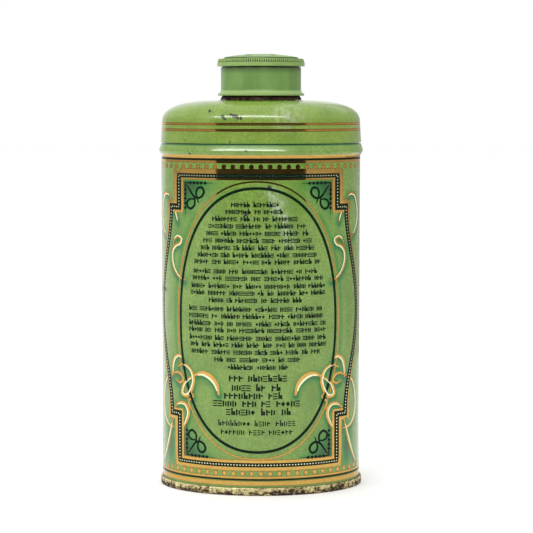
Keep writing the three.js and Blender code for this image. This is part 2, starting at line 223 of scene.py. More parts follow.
def ink(red, green, blue):
    """A colour given as it looks, 0 to 255 each, in a shader's linear values, by the sRGB curve."""
    seen = np.array([red, green, blue]) / 255
    linear = np.where(seen <= 0.04045, seen / 12.92, ((seen + 0.055) / 1.055) ** 2.4)
    return (*linear.tolist(), 1.0)


def new_finish(name):
    """An empty finish: its node tree and its surface shader."""
    material = bpy.data.materials.new(name)
    material.use_nodes = True
    return material, material.node_tree, material.node_tree.nodes["Principled BSDF"]


def put(tree, kind, settings=None, **inputs):
    """Adds a node. Each input is a value or another node's output, under its name with _ for a space, or
    under n and its number."""
    node = tree.nodes.new(kind)
    for key, value in (settings or {}).items():
        setattr(node, key, value)
    for key, value in inputs.items():
        by_number = key[0] == "n" and key[1:].isdigit()
        join(tree, value, node.inputs[int(key[1:])] if by_number else node.inputs[key.replace("_", " ")])
    return node


def join(tree, value, socket):
    """Links an output to a socket, or sets the socket's own value."""
    if isinstance(value, bpy.types.NodeSocket):
        tree.links.new(value, socket)
    else:
        socket.default_value = value


def place_on(tree):
    """Where a point lies on the piece, in metres."""
    return put(tree, "ShaderNodeTexCoord").outputs["Object"]


def grain(tree, place, per_metre, detail=3.0, roughness=0.55, stretch=None):
    """A cloudy pattern from 0 to 1, with so many clouds to the metre, squeezed along an axis if asked."""
    if stretch:
        place = put(tree, "ShaderNodeMapping", Vector=place, Scale=stretch).outputs[0]
    return put(tree, "ShaderNodeTexNoise", Vector=place, Scale=per_metre, Detail=detail,
               Roughness=roughness).outputs["Fac"]


def spread(tree, value, low, high, to_low=0.0, to_high=1.0):
    """Maps low to high onto another range, and holds it there outside."""
    return put(tree, "ShaderNodeMapRange", n0=value, n1=low, n2=high, n3=to_low, n4=to_high).outputs[0]


def sum_of(tree, operation, first, second=0.0):
    """One step of arithmetic."""
    return put(tree, "ShaderNodeMath", {"operation": operation}, n0=first, n1=second).outputs[0]


def blend_inks(tree, share, first, second):
    """The first colour where share is 0 and the second where it is 1."""
    node = put(tree, "ShaderNodeMix", {"data_type": "RGBA"}, n0=share)
    join(tree, first, node.inputs[6])
    join(tree, second, node.inputs[7])
    return node.outputs[2]


def mask_of(tree, name):
    """A number stored on the piece's points."""
    return put(tree, "ShaderNodeAttribute", {"attribute_name": name}).outputs["Fac"]


def raise_by(tree, shader, height, depth):
    """Small relief of the given depth, in metres."""
    bump = put(tree, "ShaderNodeBump", Strength=1.0, Distance=depth, Height=height)
    tree.links.new(bump.outputs[0], shader.inputs["Normal"])


def green_enamel(name, light, middle, dark, shadow_ink):
    """Green litho ink under clear varnish. Its tint wanders in small and large clouds, the mask soft_shade
    darkens it to the shadow ink, which is printed shading on the wall and painted shade at the cover's hem,
    inside the cover and on the wall under the hem, chipped shows rusted steel, scuffed is worn pale, and bare
    is unprinted tin."""
    material, tree, shader = new_finish(name)
    place = place_on(tree)
    fine = grain(tree, place, 1500, 3.0, 0.6)
    broad = grain(tree, place, 140, 4.0, 0.5)
    tint = blend_inks(tree, spread(tree, fine, 0.36, 0.62), middle, light)
    tint = blend_inks(tree, spread(tree, broad, 0.42, 0.72, 0.0, 0.65), tint, dark)
    shade = sum_of(tree, "MULTIPLY", mask_of(tree, "soft_shade"), spread(tree, fine, 0.2, 0.6, 0.88, 1.0))
    tint = blend_inks(tree, spread(tree, shade, 0.0, 0.55), tint, ink(40, 124, 36))
    tint = blend_inks(tree, spread(tree, shade, 0.4, 1.0), tint, shadow_ink)
    scuff_cloud = grain(tree, place, 700, 5.0, 0.7, (1.0, 1.0, 0.45))
    scuffed = sum_of(tree, "MULTIPLY", mask_of(tree, "scuffed"), spread(tree, scuff_cloud, 0.43, 0.6))
    tint = blend_inks(tree, scuffed, tint, ink(196, 206, 186))
    chip_cloud = grain(tree, place, 760, 4.0, 0.75)
    chipped = spread(tree, sum_of(tree, "ADD", chip_cloud, mask_of(tree, "chipped")), 1.0, 1.03)
    rust = blend_inks(tree, spread(tree, fine, 0.4, 0.6), ink(4, 5, 4), ink(44, 28, 20))
    tint = blend_inks(tree, chipped, tint, rust)
    bare = mask_of(tree, "bare")
    brushed = grain(tree, place, 900, 3.0, 0.6, (1.0, 1.0, 0.06))
    tin = blend_inks(tree, spread(tree, brushed, 0.35, 0.65), ink(168, 162, 142), ink(206, 202, 184))
    tin = blend_inks(tree, spread(tree, chip_cloud, 0.58, 0.66), tin, ink(110, 74, 44))
    tint = blend_inks(tree, bare, tint, tin)
    tree.links.new(tint, shader.inputs["Base Color"])
    tree.links.new(sum_of(tree, "MULTIPLY", bare, 0.85), shader.inputs["Metallic"])
    shine = spread(tree, grain(tree, place, 260, 4.0, 0.6), 0.35, 0.7, 0.2, 0.3)
    rough = sum_of(tree, "ADD", sum_of(tree, "MULTIPLY", scuffed, 0.3), shine)
    rough = sum_of(tree, "MAXIMUM", rough, sum_of(tree, "MULTIPLY", chipped, 0.7))
    tree.links.new(rough, shader.inputs["Roughness"])
    relief = sum_of(tree, "SUBTRACT", sum_of(tree, "MULTIPLY", fine, 0.25), chipped)
    raise_by(tree, shader, relief, 0.00002)
    shader.inputs["Coat Weight"].default_value = 0.55
    shader.inputs["Coat Roughness"].default_value = 0.09
    return material


body_green = green_enamel("green_print_on_body", ink(124, 156, 62), ink(101, 136, 43), ink(87, 123, 38),
                          ink(0, 76, 4))
body.data.materials.append(body_green)
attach(body, "tin")
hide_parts("body_shell")

# ---------------------------------------------------------------- bottom end
# The stamped bottom, lacquered pale yellow. Its edge goes down inside the wall, round under it and back up
# outside, so that its hook and the wall's own lock in a double seam, the rim that the tin stands on. Rust has
# eaten the rim.

panel_height = 2.7
seam_height = 2.4
seam_inside = -0.4
seam_outside = 0.62
seam_inner_lip = 0.14
hook_foot = 0.75
foot_roll, foot_centre = 0.24, 0.34
crown_roll, crown_drop = 0.2, 0.3
side_rows = 7
panel_inset = 1.3
ring_depth, ring_place, ring_width = 0.25, 0.8, 0.05
end_angles = round_angles(300)

panel_part = np.sqrt(steps(0, 1, 16))
roll = steps(0, np.pi / 2, 7)
foot_in = seam_inside + foot_roll * (1 - np.cos(roll))
foot_in_z = foot_centre - foot_roll * np.sin(roll)
foot_out = seam_outside - foot_roll * (1 - np.sin(roll))
foot_out_z = foot_centre - foot_roll * np.cos(roll)
crown_out = seam_outside - crown_roll * (1 - np.cos(roll))
crown_z = seam_height - crown_drop + crown_roll * np.sin(roll)
end_grow = np.concatenate([
    [seam_inside - 1.1, seam_inside - 0.45, seam_inside - 0.1, seam_inside],
    foot_in,
    foot_out,
    np.full(side_rows, seam_outside),
    crown_out[1:],
    [seam_inner_lip + 0.12, seam_inner_lip, seam_inner_lip],
])
end_rows = np.concatenate([
    [panel_height, panel_height, panel_height - 0.15, panel_height - 0.6],
    foot_in_z,
    foot_out_z,
    steps(foot_centre, seam_height - crown_drop, side_rows + 1)[1:],
    crown_z[1:],
    [seam_height - 0.1, seam_height - 0.22, hook_foot],
])
end_grow, end_rows = sheet_section(end_grow, end_rows, sheet_thickness)

# The panel's two faces run in to the axis with a shallow stamped ring.
ring_dip = -ring_depth * np.exp(-((panel_part - ring_place) / ring_width) ** 2)
panel_wide = panel_part * (tin_half_width + seam_inside - panel_inset)
panel_deep = panel_part * (tin_half_depth + seam_inside - panel_inset)
first_face = end_rows[0] + ring_dip
last_face = end_rows[-1] + ring_dip
end_wide = np.concatenate([panel_wide, tin_half_width + end_grow, panel_wide[::-1]])
end_deep = np.concatenate([panel_deep, tin_half_depth + end_grow, panel_deep[::-1]])
end_high = np.concatenate([first_face, end_rows, last_face[::-1]])
above_foot = np.clip((end_high[:, None] - 0.3) / 0.8, 0, 1)
outside_wall = np.clip((end_wide[:, None] - tin_half_width) / 0.3, 0, 1)
rim_waves = waves(end_angles[None, :], 0, 8, 0.05) + waves(9 * end_angles[None, :], 0, 9, 0.02)
rim_dents = above_foot * outside_wall * rim_waves
bottom = swept_skin("bottom_rim", end_wide[:, None] + rim_dents, end_deep[:, None] + rim_dents,
                    end_high, end_angles)
keep_edges(bottom, 40)


def rusted_lacquer(name):
    """Pale yellow lacquer on steel. Rust eats it in patches stretched along the rim, worst at the lowest
    edge, with brown stains round the patches and sound lacquer between them."""
    material, tree, shader = new_finish(name)
    place = place_on(tree)
    height = put(tree, "ShaderNodeSeparateXYZ", Vector=place).outputs[2]
    low_edge = spread(tree, height, 0.0, 0.0022, 0.12, -0.02)
    patch = grain(tree, place, 820, 7.0, 0.78, (1.0, 1.0, 1.5))
    broad = spread(tree, grain(tree, place, 110, 3.0, 0.6), 0.35, 0.65, -0.06, 0.05)
    rust_level = sum_of(tree, "ADD", sum_of(tree, "ADD", patch, low_edge), broad)
    rusted = spread(tree, rust_level, 0.54, 0.57)
    stained = spread(tree, rust_level, 0.42, 0.56)
    fine = grain(tree, place, 2600, 4.0, 0.7)
    lacquer = blend_inks(tree, spread(tree, fine, 0.35, 0.65), ink(204, 194, 130), ink(242, 236, 192))
    tint = blend_inks(tree, stained, lacquer, ink(150, 122, 66))
    rust = blend_inks(tree, spread(tree, fine, 0.38, 0.62), ink(14, 9, 7), ink(66, 42, 24))
    tree.links.new(blend_inks(tree, rusted, tint, rust), shader.inputs["Base Color"])
    tree.links.new(spread(tree, rusted, 0.0, 1.0, 0.75, 0.05), shader.inputs["Metallic"])
    tree.links.new(spread(tree, rusted, 0.0, 1.0, 0.3, 0.85), shader.inputs["Roughness"])
    relief = sum_of(tree, "ADD", sum_of(tree, "MULTIPLY", rusted, sum_of(tree, "ADD", fine, 0.4)),
                    sum_of(tree, "MULTIPLY", patch, 0.4))
    raise_by(tree, shader, relief, 0.00009)
    return material


bottom.data.materials.append(rusted_lacquer("rusted_yellow_lacquer"))
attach(bottom, "tin")
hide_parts("bottom_end")

# ---------------------------------------------------------------- shoulder cover
# The pressed cover, pushed over the drawn-in top of the wall until it meets the bead: a short skirt that
# widens to a cut lower edge, a rounded shoulder and a nearly flat land round the neck's hole. It is printed a
# lighter green.

cover_low, cover_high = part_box("shoulder_cover")
hem_height = cover_low.z / MM
land_height = cover_high.z / MM
skirt_height = 6.4
skirt_flare = 0.4
skirt_inset = 0.05
shoulder_power = 2.5
neck_hole = 10.9
land_width, land_depth = 2.0, 1.2
hem_lift, hem_lift_reach = 0.25, 2
hem_dent, hem_dent_reach, cover_dent = 0.07, 5, 0.035
shoulder_ease = 0.04

skirt_top = hem_height + skirt_height
corner = steps(0, np.pi / 2, 49)
corner_out = np.cos(corner).clip(0, 1) ** (2 / shoulder_power)
corner_up = np.sin(corner).clip(0, 1) ** (2 / shoulder_power)
cover_mid = -skirt_inset - sheet_thickness / 2
land_mid = land_height - sheet_thickness / 2
skirt_part = steps(0, 1, 12)[:-1]


def corner_line(skirt_size, land_size):
    """One half size of the cover's midline: the flared skirt, a power curve in to the land, and the land in
    to the hole's edge."""
    skirt_line = skirt_size + cover_mid + skirt_flare * (1 - skirt_part)
    curve = land_size + (skirt_size + cover_mid - land_size) * corner_out
    return np.concatenate([skirt_line, curve, steps(land_size, neck_hole, 5)[1:]])


cover_rows = np.concatenate([
    hem_height + skirt_height * skirt_part,
    skirt_top + (land_mid - skirt_top) * corner_up,
    np.full(4, land_mid),
])
cover_wide, cover_heights = sheet_section(corner_line(tin_half_width, neck_hole + land_width), cover_rows,
                                          sheet_thickness)
cover_deep, _ = sheet_section(corner_line(tin_half_depth, neck_hole + land_depth), cover_rows,
                              sheet_thickness)
cover_angles = round_angles(288)
cover_turn = cover_angles[None, :]


def cover_dents(angle, height):
    """The cover's slow dents, which are deepest along its thin hem."""
    near_hem = np.clip((hem_height + hem_dent_reach - height) / hem_dent_reach, 0, 1)
    return waves(angle, 0, 21, hem_dent) * near_hem + waves(angle, height, 22, cover_dent)


cover_height = cover_heights[:, None]
on_shoulder = np.clip((cover_height - skirt_top) / 3, 0, 1)
outer_side = (np.arange(len(cover_heights)) >= len(cover_rows))[:, None]
cover_shape = cover_dents(cover_turn, cover_height)
hem_share = np.clip((hem_height + hem_lift_reach - cover_height) / hem_lift_reach, 0, 1)
hem_ripple = (hem_lift + waves(3 * cover_turn, 0, 23, 0.05)) * hem_share
cover = swept_skin("shoulder_cover_printed", cover_wide[:, None] + cover_shape,
                   cover_deep[:, None] + cover_shape,
                   cover_height + hem_ripple - shoulder_ease * on_shoulder * outer_side, cover_angles)
keep_edges(cover, 50)


def marks_near(piece, spots):
    """A mask with a soft round mark at each (x, z, radius, strength) spot on the front of a piece."""
    x, y, z = points_of(piece).T
    total = np.zeros(len(x))
    for spot_x, spot_z, radius, strength in spots:
        away = (x - spot_x) ** 2 + (z - spot_z) ** 2
        total = np.maximum(total, strength * np.exp(-away / radius ** 2) * (y < 0))
    return total


above_hem = points_of(cover)[:, 2] - hem_height
hem_wear = 0.42 * np.exp(-(above_hem / 0.35) ** 2)
cover_chips = marks_near(cover, [
    (-15.5, 117.3, 1.0, 0.62), (-14.4, 117.1, 0.8, 0.58), (-15.7, 116.3, 0.7, 0.56),
    (-11.6, 115.7, 1.2, 0.66), (-10.7, 114.9, 0.9, 0.6), (-9.2, 116.4, 0.9, 0.6),
    (-7.5, 115.5, 1.5, 0.7), (-6.1, 115.3, 1.1, 0.67), (-8.4, 116.0, 0.8, 0.58),
    (-22.9, 108.2, 1.1, 0.6), (-9.2, 108.1, 1.1, 0.6), (14.0, 108.0, 0.8, 0.56),
])
set_mask(cover, "chipped", np.maximum(cover_chips, hem_wear))
# Painted shade: the cover is darkened with its shadow ink along its hem and all over its inner face, for the
# gap under the hem.
hem_painted_shade = 0.6 * np.exp(-(above_hem / 0.3) ** 2)
set_mask(cover, "soft_shade", np.maximum(hem_painted_shade, ~np.repeat(outer_side[:, 0], len(cover_angles))))
set_mask(cover, "scuffed", marks_near(cover, [(8.0, 116.0, 4.0, 0.5)]))
cover.data.materials.append(green_enamel("green_print_on_cover", ink(132, 159, 63), ink(112, 141, 42),
                                         ink(97, 130, 36), ink(26, 40, 18)))
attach(cover, "tin")
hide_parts("shoulder_cover")

# ---------------------------------------------------------------- neck ferrule
# A short plain tinplate tube clinched through the cover's hole: turned out under it, folded out into a
# flared foot on top of it, and curled over at the mouth. It is unprinted and has tarnished almost black.

neck_radius = 10.8
neck_flare = 1.8
flare_top = 2.6
flare_power = 1.4
neck_height = 4.5
curl_radius, curl_turn = 0.3, 1.1
clinch_width = 1.3
fold_gap = 0.04

neck_mid_radius = neck_radius - sheet_thickness / 2
under_land = land_height - 1.5 * sheet_thickness - fold_gap
over_land = land_height + fold_gap + sheet_thickness / 2
flare_part = steps(0, 1, 22)
curl = steps(0, np.pi * curl_turn, 18)
curl_centre = land_height + neck_height - curl_radius - sheet_thickness / 2
neck_line = np.concatenate([
    [neck_mid_radius + clinch_width, neck_mid_radius, neck_mid_radius, neck_mid_radius + neck_flare],
    neck_mid_radius + neck_flare * (1 - flare_part ** flare_power),
    neck_mid_radius + curl_radius * (1 - np.cos(curl)),
])
neck_rows = np.concatenate([
    [under_land, under_land, over_land, over_land],
    over_land + sheet_thickness + (land_height + flare_top - over_land - sheet_thickness) * flare_part,
    curl_centre + curl_radius * np.sin(curl),
])
neck_line, neck_rows = sheet_section(neck_line, neck_rows, sheet_thickness)
neck_angles = round_angles(144)
ferrule = swept_skin("neck_ferrule_tarnished", neck_line, neck_line, neck_rows, neck_angles)
keep_edges(ferrule, 40)


def tarnished_tin(name):
    """Bare tinplate gone dark, with brown stains and a few spots still bright."""
    material, tree, shader = new_finish(name)
    place = place_on(tree)
    stain = grain(tree, place, 420, 5.0, 0.7)
    fine = grain(tree, place, 2400, 3.0, 0.6)
    tint = blend_inks(tree, spread(tree, stain, 0.38, 0.6), ink(26, 20, 12), ink(78, 60, 38))
    tint = blend_inks(tree, spread(tree, fine, 0.66, 0.74, 0.0, 0.3), tint, ink(156, 144, 116))
    tree.links.new(tint, shader.inputs["Base Color"])
    tree.links.new(spread(tree, stain, 0.35, 0.65, 0.75, 0.4), shader.inputs["Roughness"])
    shader.inputs["Metallic"].default_value = 0.45
    shader.inputs["Specular IOR Level"].default_value = 0.2
    raise_by(tree, shader, fine, 0.00005)
    return material


ferrule.data.materials.append(tarnished_tin("tarnished_tinplate"))
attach(ferrule, "tin")
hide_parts("neck_ferrule")

# ---------------------------------------------------------------- sifter collar
# The fixed half of the closure, moulded in green plastic: a foot flange, a straight wall and a spigot whose
# domed end is the sieve. It snaps over the neck's curl and holds the dial by a hole in the middle of its
# sieve.

collar_low, collar_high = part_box("sifter_collar")
collar_base = collar_low.z / MM
collar_height = 8.8
collar_wall_radius = 12.48
collar_bore = 11.73
flange_radius = 13.45
flange_lip, flange_height = 0.45, 1.9
mouth_radius = 12.4
spigot_radius = 12.08
plate = 1.2
dome_radius = 62.0
holes, hole_radius, hole_circle = 6, 1.2, 7.6
stem_radius = 2.0
part_fit = 0.15
sieve_inner, sieve_outer = 5.6, 9.6
sector_sides = 16
spigot_round, ledge_round, lip_round = 0.25, 0.18, 0.12
foot_start = 0.25
foot_power = 0.72
snap_ring, snap_ring_rows = 0.28, np.array([1.75, 2.0, 2.25])
inner_corner = 0.4

ledge = collar_base + collar_height
sieve_top = collar_high.z / MM + dome_radius - np.sqrt(dome_radius ** 2 - (stem_radius + part_fit) ** 2)


def dome_drop(radius):
    """How far the domed end has fallen at a radius: R less the root of R squared less the radius squared."""
    return dome_radius - np.sqrt(dome_radius ** 2 - radius ** 2)


def around(radius, angle):
    """Points in plan at a radius and an angle from +X."""
    return np.stack([radius * np.cos(angle), radius * np.sin(angle)], -1)


def sector_edge(inner, outer, start, end, sides):
    """The closed edge of a ring's sector, with the same number of steps on each of its four sides."""
    part = steps(0, 1, sides + 1)[:-1]
    sweep = start + (end - start) * part
    back = end + (start - end) * part
    return np.concatenate([
        around(inner, sweep),
        around(inner + (outer - inner) * part, end),
        around(outer, back),
        around(outer + (inner - outer) * part, start),
    ])


def hole_edge(angle, radius, circle, corners):
    """A round hole's edge, with its points facing those of the sector edge round it."""
    centre = around(circle, angle)
    out = corners - centre
    return centre + radius * out / np.linalg.norm(out, axis=1, keepdims=True)


def pierced_ring(top, under, turn):
    """The ring of six holes through a domed plate. Each sector's edge is drawn in step by step to its hole's
    edge, over the top and under the plate, and the hole's wall joins the two. Returns points and faces."""
    inset = steps(0, 1, 6) ** 0.8
    all_points, all_faces, count = [], [], 0
    for i in range(holes):
        middle = turn + 2 * np.pi * i / holes
        half_turn = np.pi / holes
        edge = sector_edge(sieve_inner, sieve_outer, middle - half_turn, middle + half_turn, sector_sides)
        hole = hole_edge(middle, hole_radius, hole_circle, edge)
        flat = edge[None] + (hole - edge)[None] * inset[:, None, None]
        radius = np.linalg.norm(flat, axis=2)
        over = np.dstack([flat, top - dome_drop(radius)])
        below = np.dstack([flat, under - dome_drop(radius)])
        rings = np.concatenate([over, below[::-1]])
        number = count + np.arange(rings.shape[0] * rings.shape[1]).reshape(rings.shape[:2])
        beyond = np.roll(number, -1, 1)
        all_faces.append(np.stack([number[:-1], beyond[:-1], beyond[1:], number[1:]], 2).reshape(-1, 4))
        all_points.append(rings.reshape(-1, 3))
        count += rings.shape[0] * rings.shape[1]
    return np.concatenate(all_points), np.concatenate(all_faces)


def turned_rows(radius, height, angles):
    """A line carried round the axis, open at both ends. Returns points and faces."""
    grid = np.stack([np.outer(radius, np.cos(angles)), np.outer(radius, np.sin(angles)),
                     np.repeat(np.asarray(height)[:, None], len(angles), 1)], 2)
    number = np.arange(grid.shape[0] * grid.shape[1]).reshape(grid.shape[:2])
    beyond = np.roll(number, -1, 1)
    return grid.reshape(-1, 3), np.stack([number[:-1], beyond[:-1], beyond[1:], number[1:]], 2).reshape(-1, 4)


def stitched_skin(name, patches):
    """One closed skin from patches that share edge points: the doubles are merged, faces that lose their area
    are dropped, and every face is turned out."""
    _, first, same = np.unique(np.round(np.concatenate([points for points, _ in patches]), 4), axis=0,
                               return_index=True, return_inverse=True)
    starts = np.cumsum([0] + [len(points) for points, _ in patches])
    solid = []
    for start, (_, faces) in zip(starts, patches):
        merged = [list(dict.fromkeys(same.reshape(-1)[np.add(face, start)].tolist())) for face in faces]
        solid += [face for face in merged if len(face) > 2]
    piece = make_skin(name, np.concatenate([points for points, _ in patches])[first], solid)
    work = bmesh.new()
    work.from_mesh(piece.data)
    bmesh.ops.recalc_face_normals(work, faces=work.faces)
    work.to_mesh(piece.data)
    work.free()
    return piece


sieve_turn = np.pi / holes
closure_angles = sieve_turn + np.pi / holes * steps(-1, 2 * holes - 1, holes * sector_sides + 1)[:-1]
collar_under = sieve_top - plate
foot_curve = steps(0, np.pi / 2, 10)
foot_reach = flange_radius - lip_round - collar_wall_radius
foot_radius = collar_wall_radius + foot_reach * (1 - np.cos(foot_curve)) ** foot_power
foot_climb = flange_height - flange_lip - foot_start
foot_height = collar_base + flange_lip + foot_start + foot_climb * (1 - np.sin(foot_curve))
quarter = steps(0, np.pi / 2, 5)[1:]
wall_line = [
    (sieve_outer + (spigot_radius - spigot_round - sieve_outer) * steps(0, 1, 5), None),
    (spigot_radius - spigot_round * (1 - np.sin(quarter)),
     sieve_top - dome_drop(spigot_radius) - spigot_round * (1 - np.cos(quarter))),
    (np.array([spigot_radius, collar_wall_radius - ledge_round]), np.array([ledge, ledge])),
    (collar_wall_radius - ledge_round * (1 - np.sin(quarter)), ledge - ledge_round * (1 - np.cos(quarter))),
    (np.full(5, collar_wall_radius), steps(ledge - 0.6, collar_base + flange_height + 0.3, 5)),
    (foot_radius, foot_height),
    (flange_radius - lip_round * (1 - np.sin(quarter)),
     collar_base + flange_lip + 0.13 + lip_round * np.cos(quarter)),
    (np.full(3, flange_radius), steps(collar_base + flange_lip, collar_base + lip_round, 3)),
    (flange_radius - lip_round * (1 - np.cos(quarter)),
     collar_base + lip_round - lip_round * np.sin(quarter)),
    (np.array([mouth_radius, collar_bore]),
     np.array([collar_base, collar_base + mouth_radius - collar_bore])),
    (np.array([collar_bore, collar_bore - snap_ring, collar_bore]), collar_base + snap_ring_rows),
    (np.array([collar_bore, collar_bore - inner_corner]),
     collar_under - dome_drop(collar_bore) - np.array([inner_corner, 0.0])),
    (steps(collar_bore - 0.6, sieve_outer, 4), None),
]


def joined_line(stretches, top, under):
    """The stretches of a section end to end. A stretch with no heights follows the dome: the first stretch
    its top, and any other its underside."""
    radius, height = [], []
    for i, (stretch_radius, stretch_height) in enumerate(stretches):
        if stretch_height is None:
            stretch_height = (top if i == 0 else under) - dome_drop(stretch_radius)
        radius.append(stretch_radius)
        height.append(stretch_height)
    return np.concatenate(radius), np.concatenate(height)


outside_line = joined_line(wall_line, sieve_top, collar_under)
hub_part = steps(sieve_inner, stem_radius + part_fit, 6)
hub_line = (np.concatenate([hub_part, hub_part[::-1]]),
            np.concatenate([sieve_top - dome_drop(hub_part), (collar_under - dome_drop(hub_part))[::-1]]))
collar = stitched_skin("collar_moulding", [
    pierced_ring(sieve_top, collar_under, sieve_turn),
    turned_rows(*outside_line, closure_angles),
    turned_rows(*hub_line, closure_angles),
])
keep_edges(collar, 35)


def green_plastic(name, light, dark):
    """Moulded green plastic, matted by handling: faint flow marks and small pits. It is paler under one mask,
    partly wear and partly painted highlight, and darker under another, partly dirt and partly painted shade."""
    material, tree, shader = new_finish(name)
    place = place_on(tree)
    flow = grain(tree, place, 160, 3.0, 0.5, (1.0, 1.0, 0.35))
    fine = grain(tree, place, 1900, 3.0, 0.6)
    tint = blend_inks(tree, spread(tree, flow, 0.38, 0.66), dark, light)
    tint = blend_inks(tree, spread(tree, fine, 0.3, 0.7, 0.0, 0.22), tint, dark)
    patchy = spread(tree, grain(tree, place, 500, 4.0, 0.6), 0.3, 0.6, 0.8, 1.0)
    tint = blend_inks(tree, mask_of(tree, "rubbed_and_painted_highlight"), tint, ink(178, 206, 128))
    tint = blend_inks(tree, sum_of(tree, "MULTIPLY", mask_of(tree, "grime_and_painted_shade"), patchy), tint, ink(40, 58, 18))
    tree.links.new(tint, shader.inputs["Base Color"])
    tree.links.new(spread(tree, fine, 0.3, 0.7, 0.3, 0.42), shader.inputs["Roughness"])
    raise_by(tree, shader, sum_of(tree, "ADD", fine, sum_of(tree, "MULTIPLY", flow, 1.5)), 0.00003)
    shader.inputs["Subsurface Weight"].default_value = 0.06
    shader.inputs["Subsurface Scale"].default_value = 0.001
    return material


closure_green = green_plastic("moulded_green_plastic", ink(119, 158, 79), ink(97, 138, 56))
collar_x, collar_y, collar_z = points_of(collar).T
# Painted shade, with some dirt: a band under the dial's ledge and a line along the collar's foot are
# darkened.
set_mask(collar, "grime_and_painted_shade", 0.6 * np.exp(-((collar_z - ledge) / 0.35) ** 2)
         + 0.75 * np.exp(-((collar_z - ledge) / 1.15) ** 2)
         + 0.4 * np.exp(-((collar_z - collar_base) / 0.2) ** 2))
# Painted highlight: the foot flange is made paler.
set_mask(collar, "rubbed_and_painted_highlight", 0.5 * (np.hypot(collar_x, collar_y) > collar_wall_radius + 0.06))
collar.data.materials.append(closure_green)
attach(collar, "closure")
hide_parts("sifter_collar")

# ---------------------------------------------------------------- turn dial
# The turning half of the closure, moulded in the same plastic: a low dome with the sieve's six holes, a
# knurled rim over a plain band and a barbed stem that snaps through the collar's sieve. The lug that stops
# its turn is out of sight between the two, and is not shaped here.

dial_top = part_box("turn_dial")[1].z / MM
dial_base = ledge + 0.3
dial_bore = spigot_radius + part_fit
knurl_radius = dial_bore + 1.2
band_radius = knurl_radius + 0.2
band_height, knurl_height, knurl_depth = 1.2, 1.1, 0.28
knurl_teeth = 120
rim_land = 1.9
dome_edge = knurl_radius - rim_land
knurl_foot_fade, knurl_crown_fade, knurl_sharpness = 0.1, 0.38, 0.85
dome_round, well_round, band_round, inner_bevel = 0.15, 0.12, 0.1, 0.3
barb_proud, barb_height = 0.6, 1.0

knurl_base = dial_base + band_height
rim_height = knurl_base + knurl_height
dial_inner_top = dial_top - plate
barb_radius = stem_radius + barb_proud
barb_top = collar_under - dome_drop(barb_radius) - part_fit
dial_sector_angles = -np.pi / holes + 2 * np.pi * steps(0, 1, holes * sector_sides + 1)[:-1]
dial_ceiling = dial_inner_top - dome_drop(dial_bore)
dial_lines = [
    (steps(sieve_outer, dome_edge - dome_round, 6), None),
    (dome_edge - dome_round + dome_round * np.sin(quarter),
     dial_top - dome_drop(dome_edge) - dome_round * (1 - np.cos(quarter))),
    (dome_edge + well_round * (1 - np.cos(quarter)), rim_height + well_round * (1 - np.sin(quarter))),
    (steps(dome_edge + 0.3, knurl_radius - knurl_depth - 0.14, 4), np.full(4, rim_height)),
]
dial_under = [
    (band_radius - band_round * (1 - np.sin(quarter)), knurl_base - band_round * (1 - np.cos(quarter))),
    (np.full(3, band_radius), steps(knurl_base - 0.3, dial_base + lip_round, 3)),
    (band_radius - lip_round * (1 - np.cos(quarter)), dial_base + lip_round * (1 - np.sin(quarter))),
    (np.array([dial_bore, dial_bore, dial_bore - inner_bevel]),
     np.array([dial_base, dial_ceiling - inner_bevel, dial_ceiling])),
    (steps(dial_bore - 0.8, sieve_outer, 4), None),
]


def knurled_band(angles, teeth):
    """The rim's toothed stretch on a fine grid: its radius is the root plus the tooth depth times a flattened
    cosine of the tooth count times the angle, faded out at its top and bottom edges."""
    part = steps(0, 1, 9)
    wave = np.clip(0.5 + knurl_sharpness * np.cos(teeth * angles), 0, 1)
    fade = np.minimum(1, np.minimum(part / knurl_foot_fade, (1 - part) / knurl_crown_fade)).clip(0, 1)
    radius = knurl_radius - knurl_depth + knurl_depth * fade[:, None] * wave[None]
    height = knurl_base + (rim_height - knurl_base) * part
    grid = np.stack([radius * np.cos(angles), radius * np.sin(angles),
                     np.repeat(height[:, None], len(angles), 1)], 2)
    number = np.arange(grid.shape[0] * grid.shape[1]).reshape(grid.shape[:2])
    beyond = np.roll(number, -1, 1)
    faces = np.stack([number[:-1], beyond[:-1], beyond[1:], number[1:]], 2).reshape(-1, 4)
    return grid, faces


# One set of angles serves the whole dial: eight for each tooth, which also falls on the sectors' points.
tooth_steps = 8
rim_angles = -np.pi / holes + 2 * np.pi * steps(0, 1, knurl_teeth * tooth_steps + 1)[:-1]
knurl_grid, knurl_faces = knurled_band(rim_angles, knurl_teeth)
top_radius, top_height = joined_line(dial_lines, dial_top, dial_inner_top)
knurl_root = knurl_radius - knurl_depth
under_radius, under_height = joined_line([(np.array([knurl_root]), np.array([knurl_base])), *dial_under],
                                         dial_top, dial_inner_top)
dial_hub = np.append(steps(sieve_inner, 3.4, 5), 0.0)
stem_end = barb_top - barb_height
stem_under = (
    np.array([0.0, stem_radius - 0.5, stem_radius, barb_radius, barb_radius, stem_radius, stem_radius,
              sieve_inner]),
    np.array([stem_end, stem_end, stem_end + 0.2, barb_top - 0.6 * barb_height, barb_top, barb_top,
              dial_inner_top - dome_drop(stem_radius), dial_inner_top - dome_drop(sieve_inner)]),
)


def bridge_rings(coarse_radius, coarse_height, fine_radius, fine_height, coarse_angles, fine_angles):
    """Joins a coarse ring to a fine one that has a whole number of points to each of its own. Each coarse
    step is one face. Returns points and faces."""
    ratio = len(fine_angles) // len(coarse_angles)
    coarse = np.column_stack([around(coarse_radius, coarse_angles),
                              np.full(len(coarse_angles), coarse_height)])
    fine = np.column_stack([around(fine_radius, fine_angles), np.full(len(fine_angles), fine_height)])
    faces = []
    for step in range(len(coarse)):
        arc = [len(coarse) + (step * ratio + tick) % len(fine) for tick in range(ratio + 1)]
        faces.append([step, (step + 1) % len(coarse), *arc[::-1]])
    return np.vstack([coarse, fine]), faces


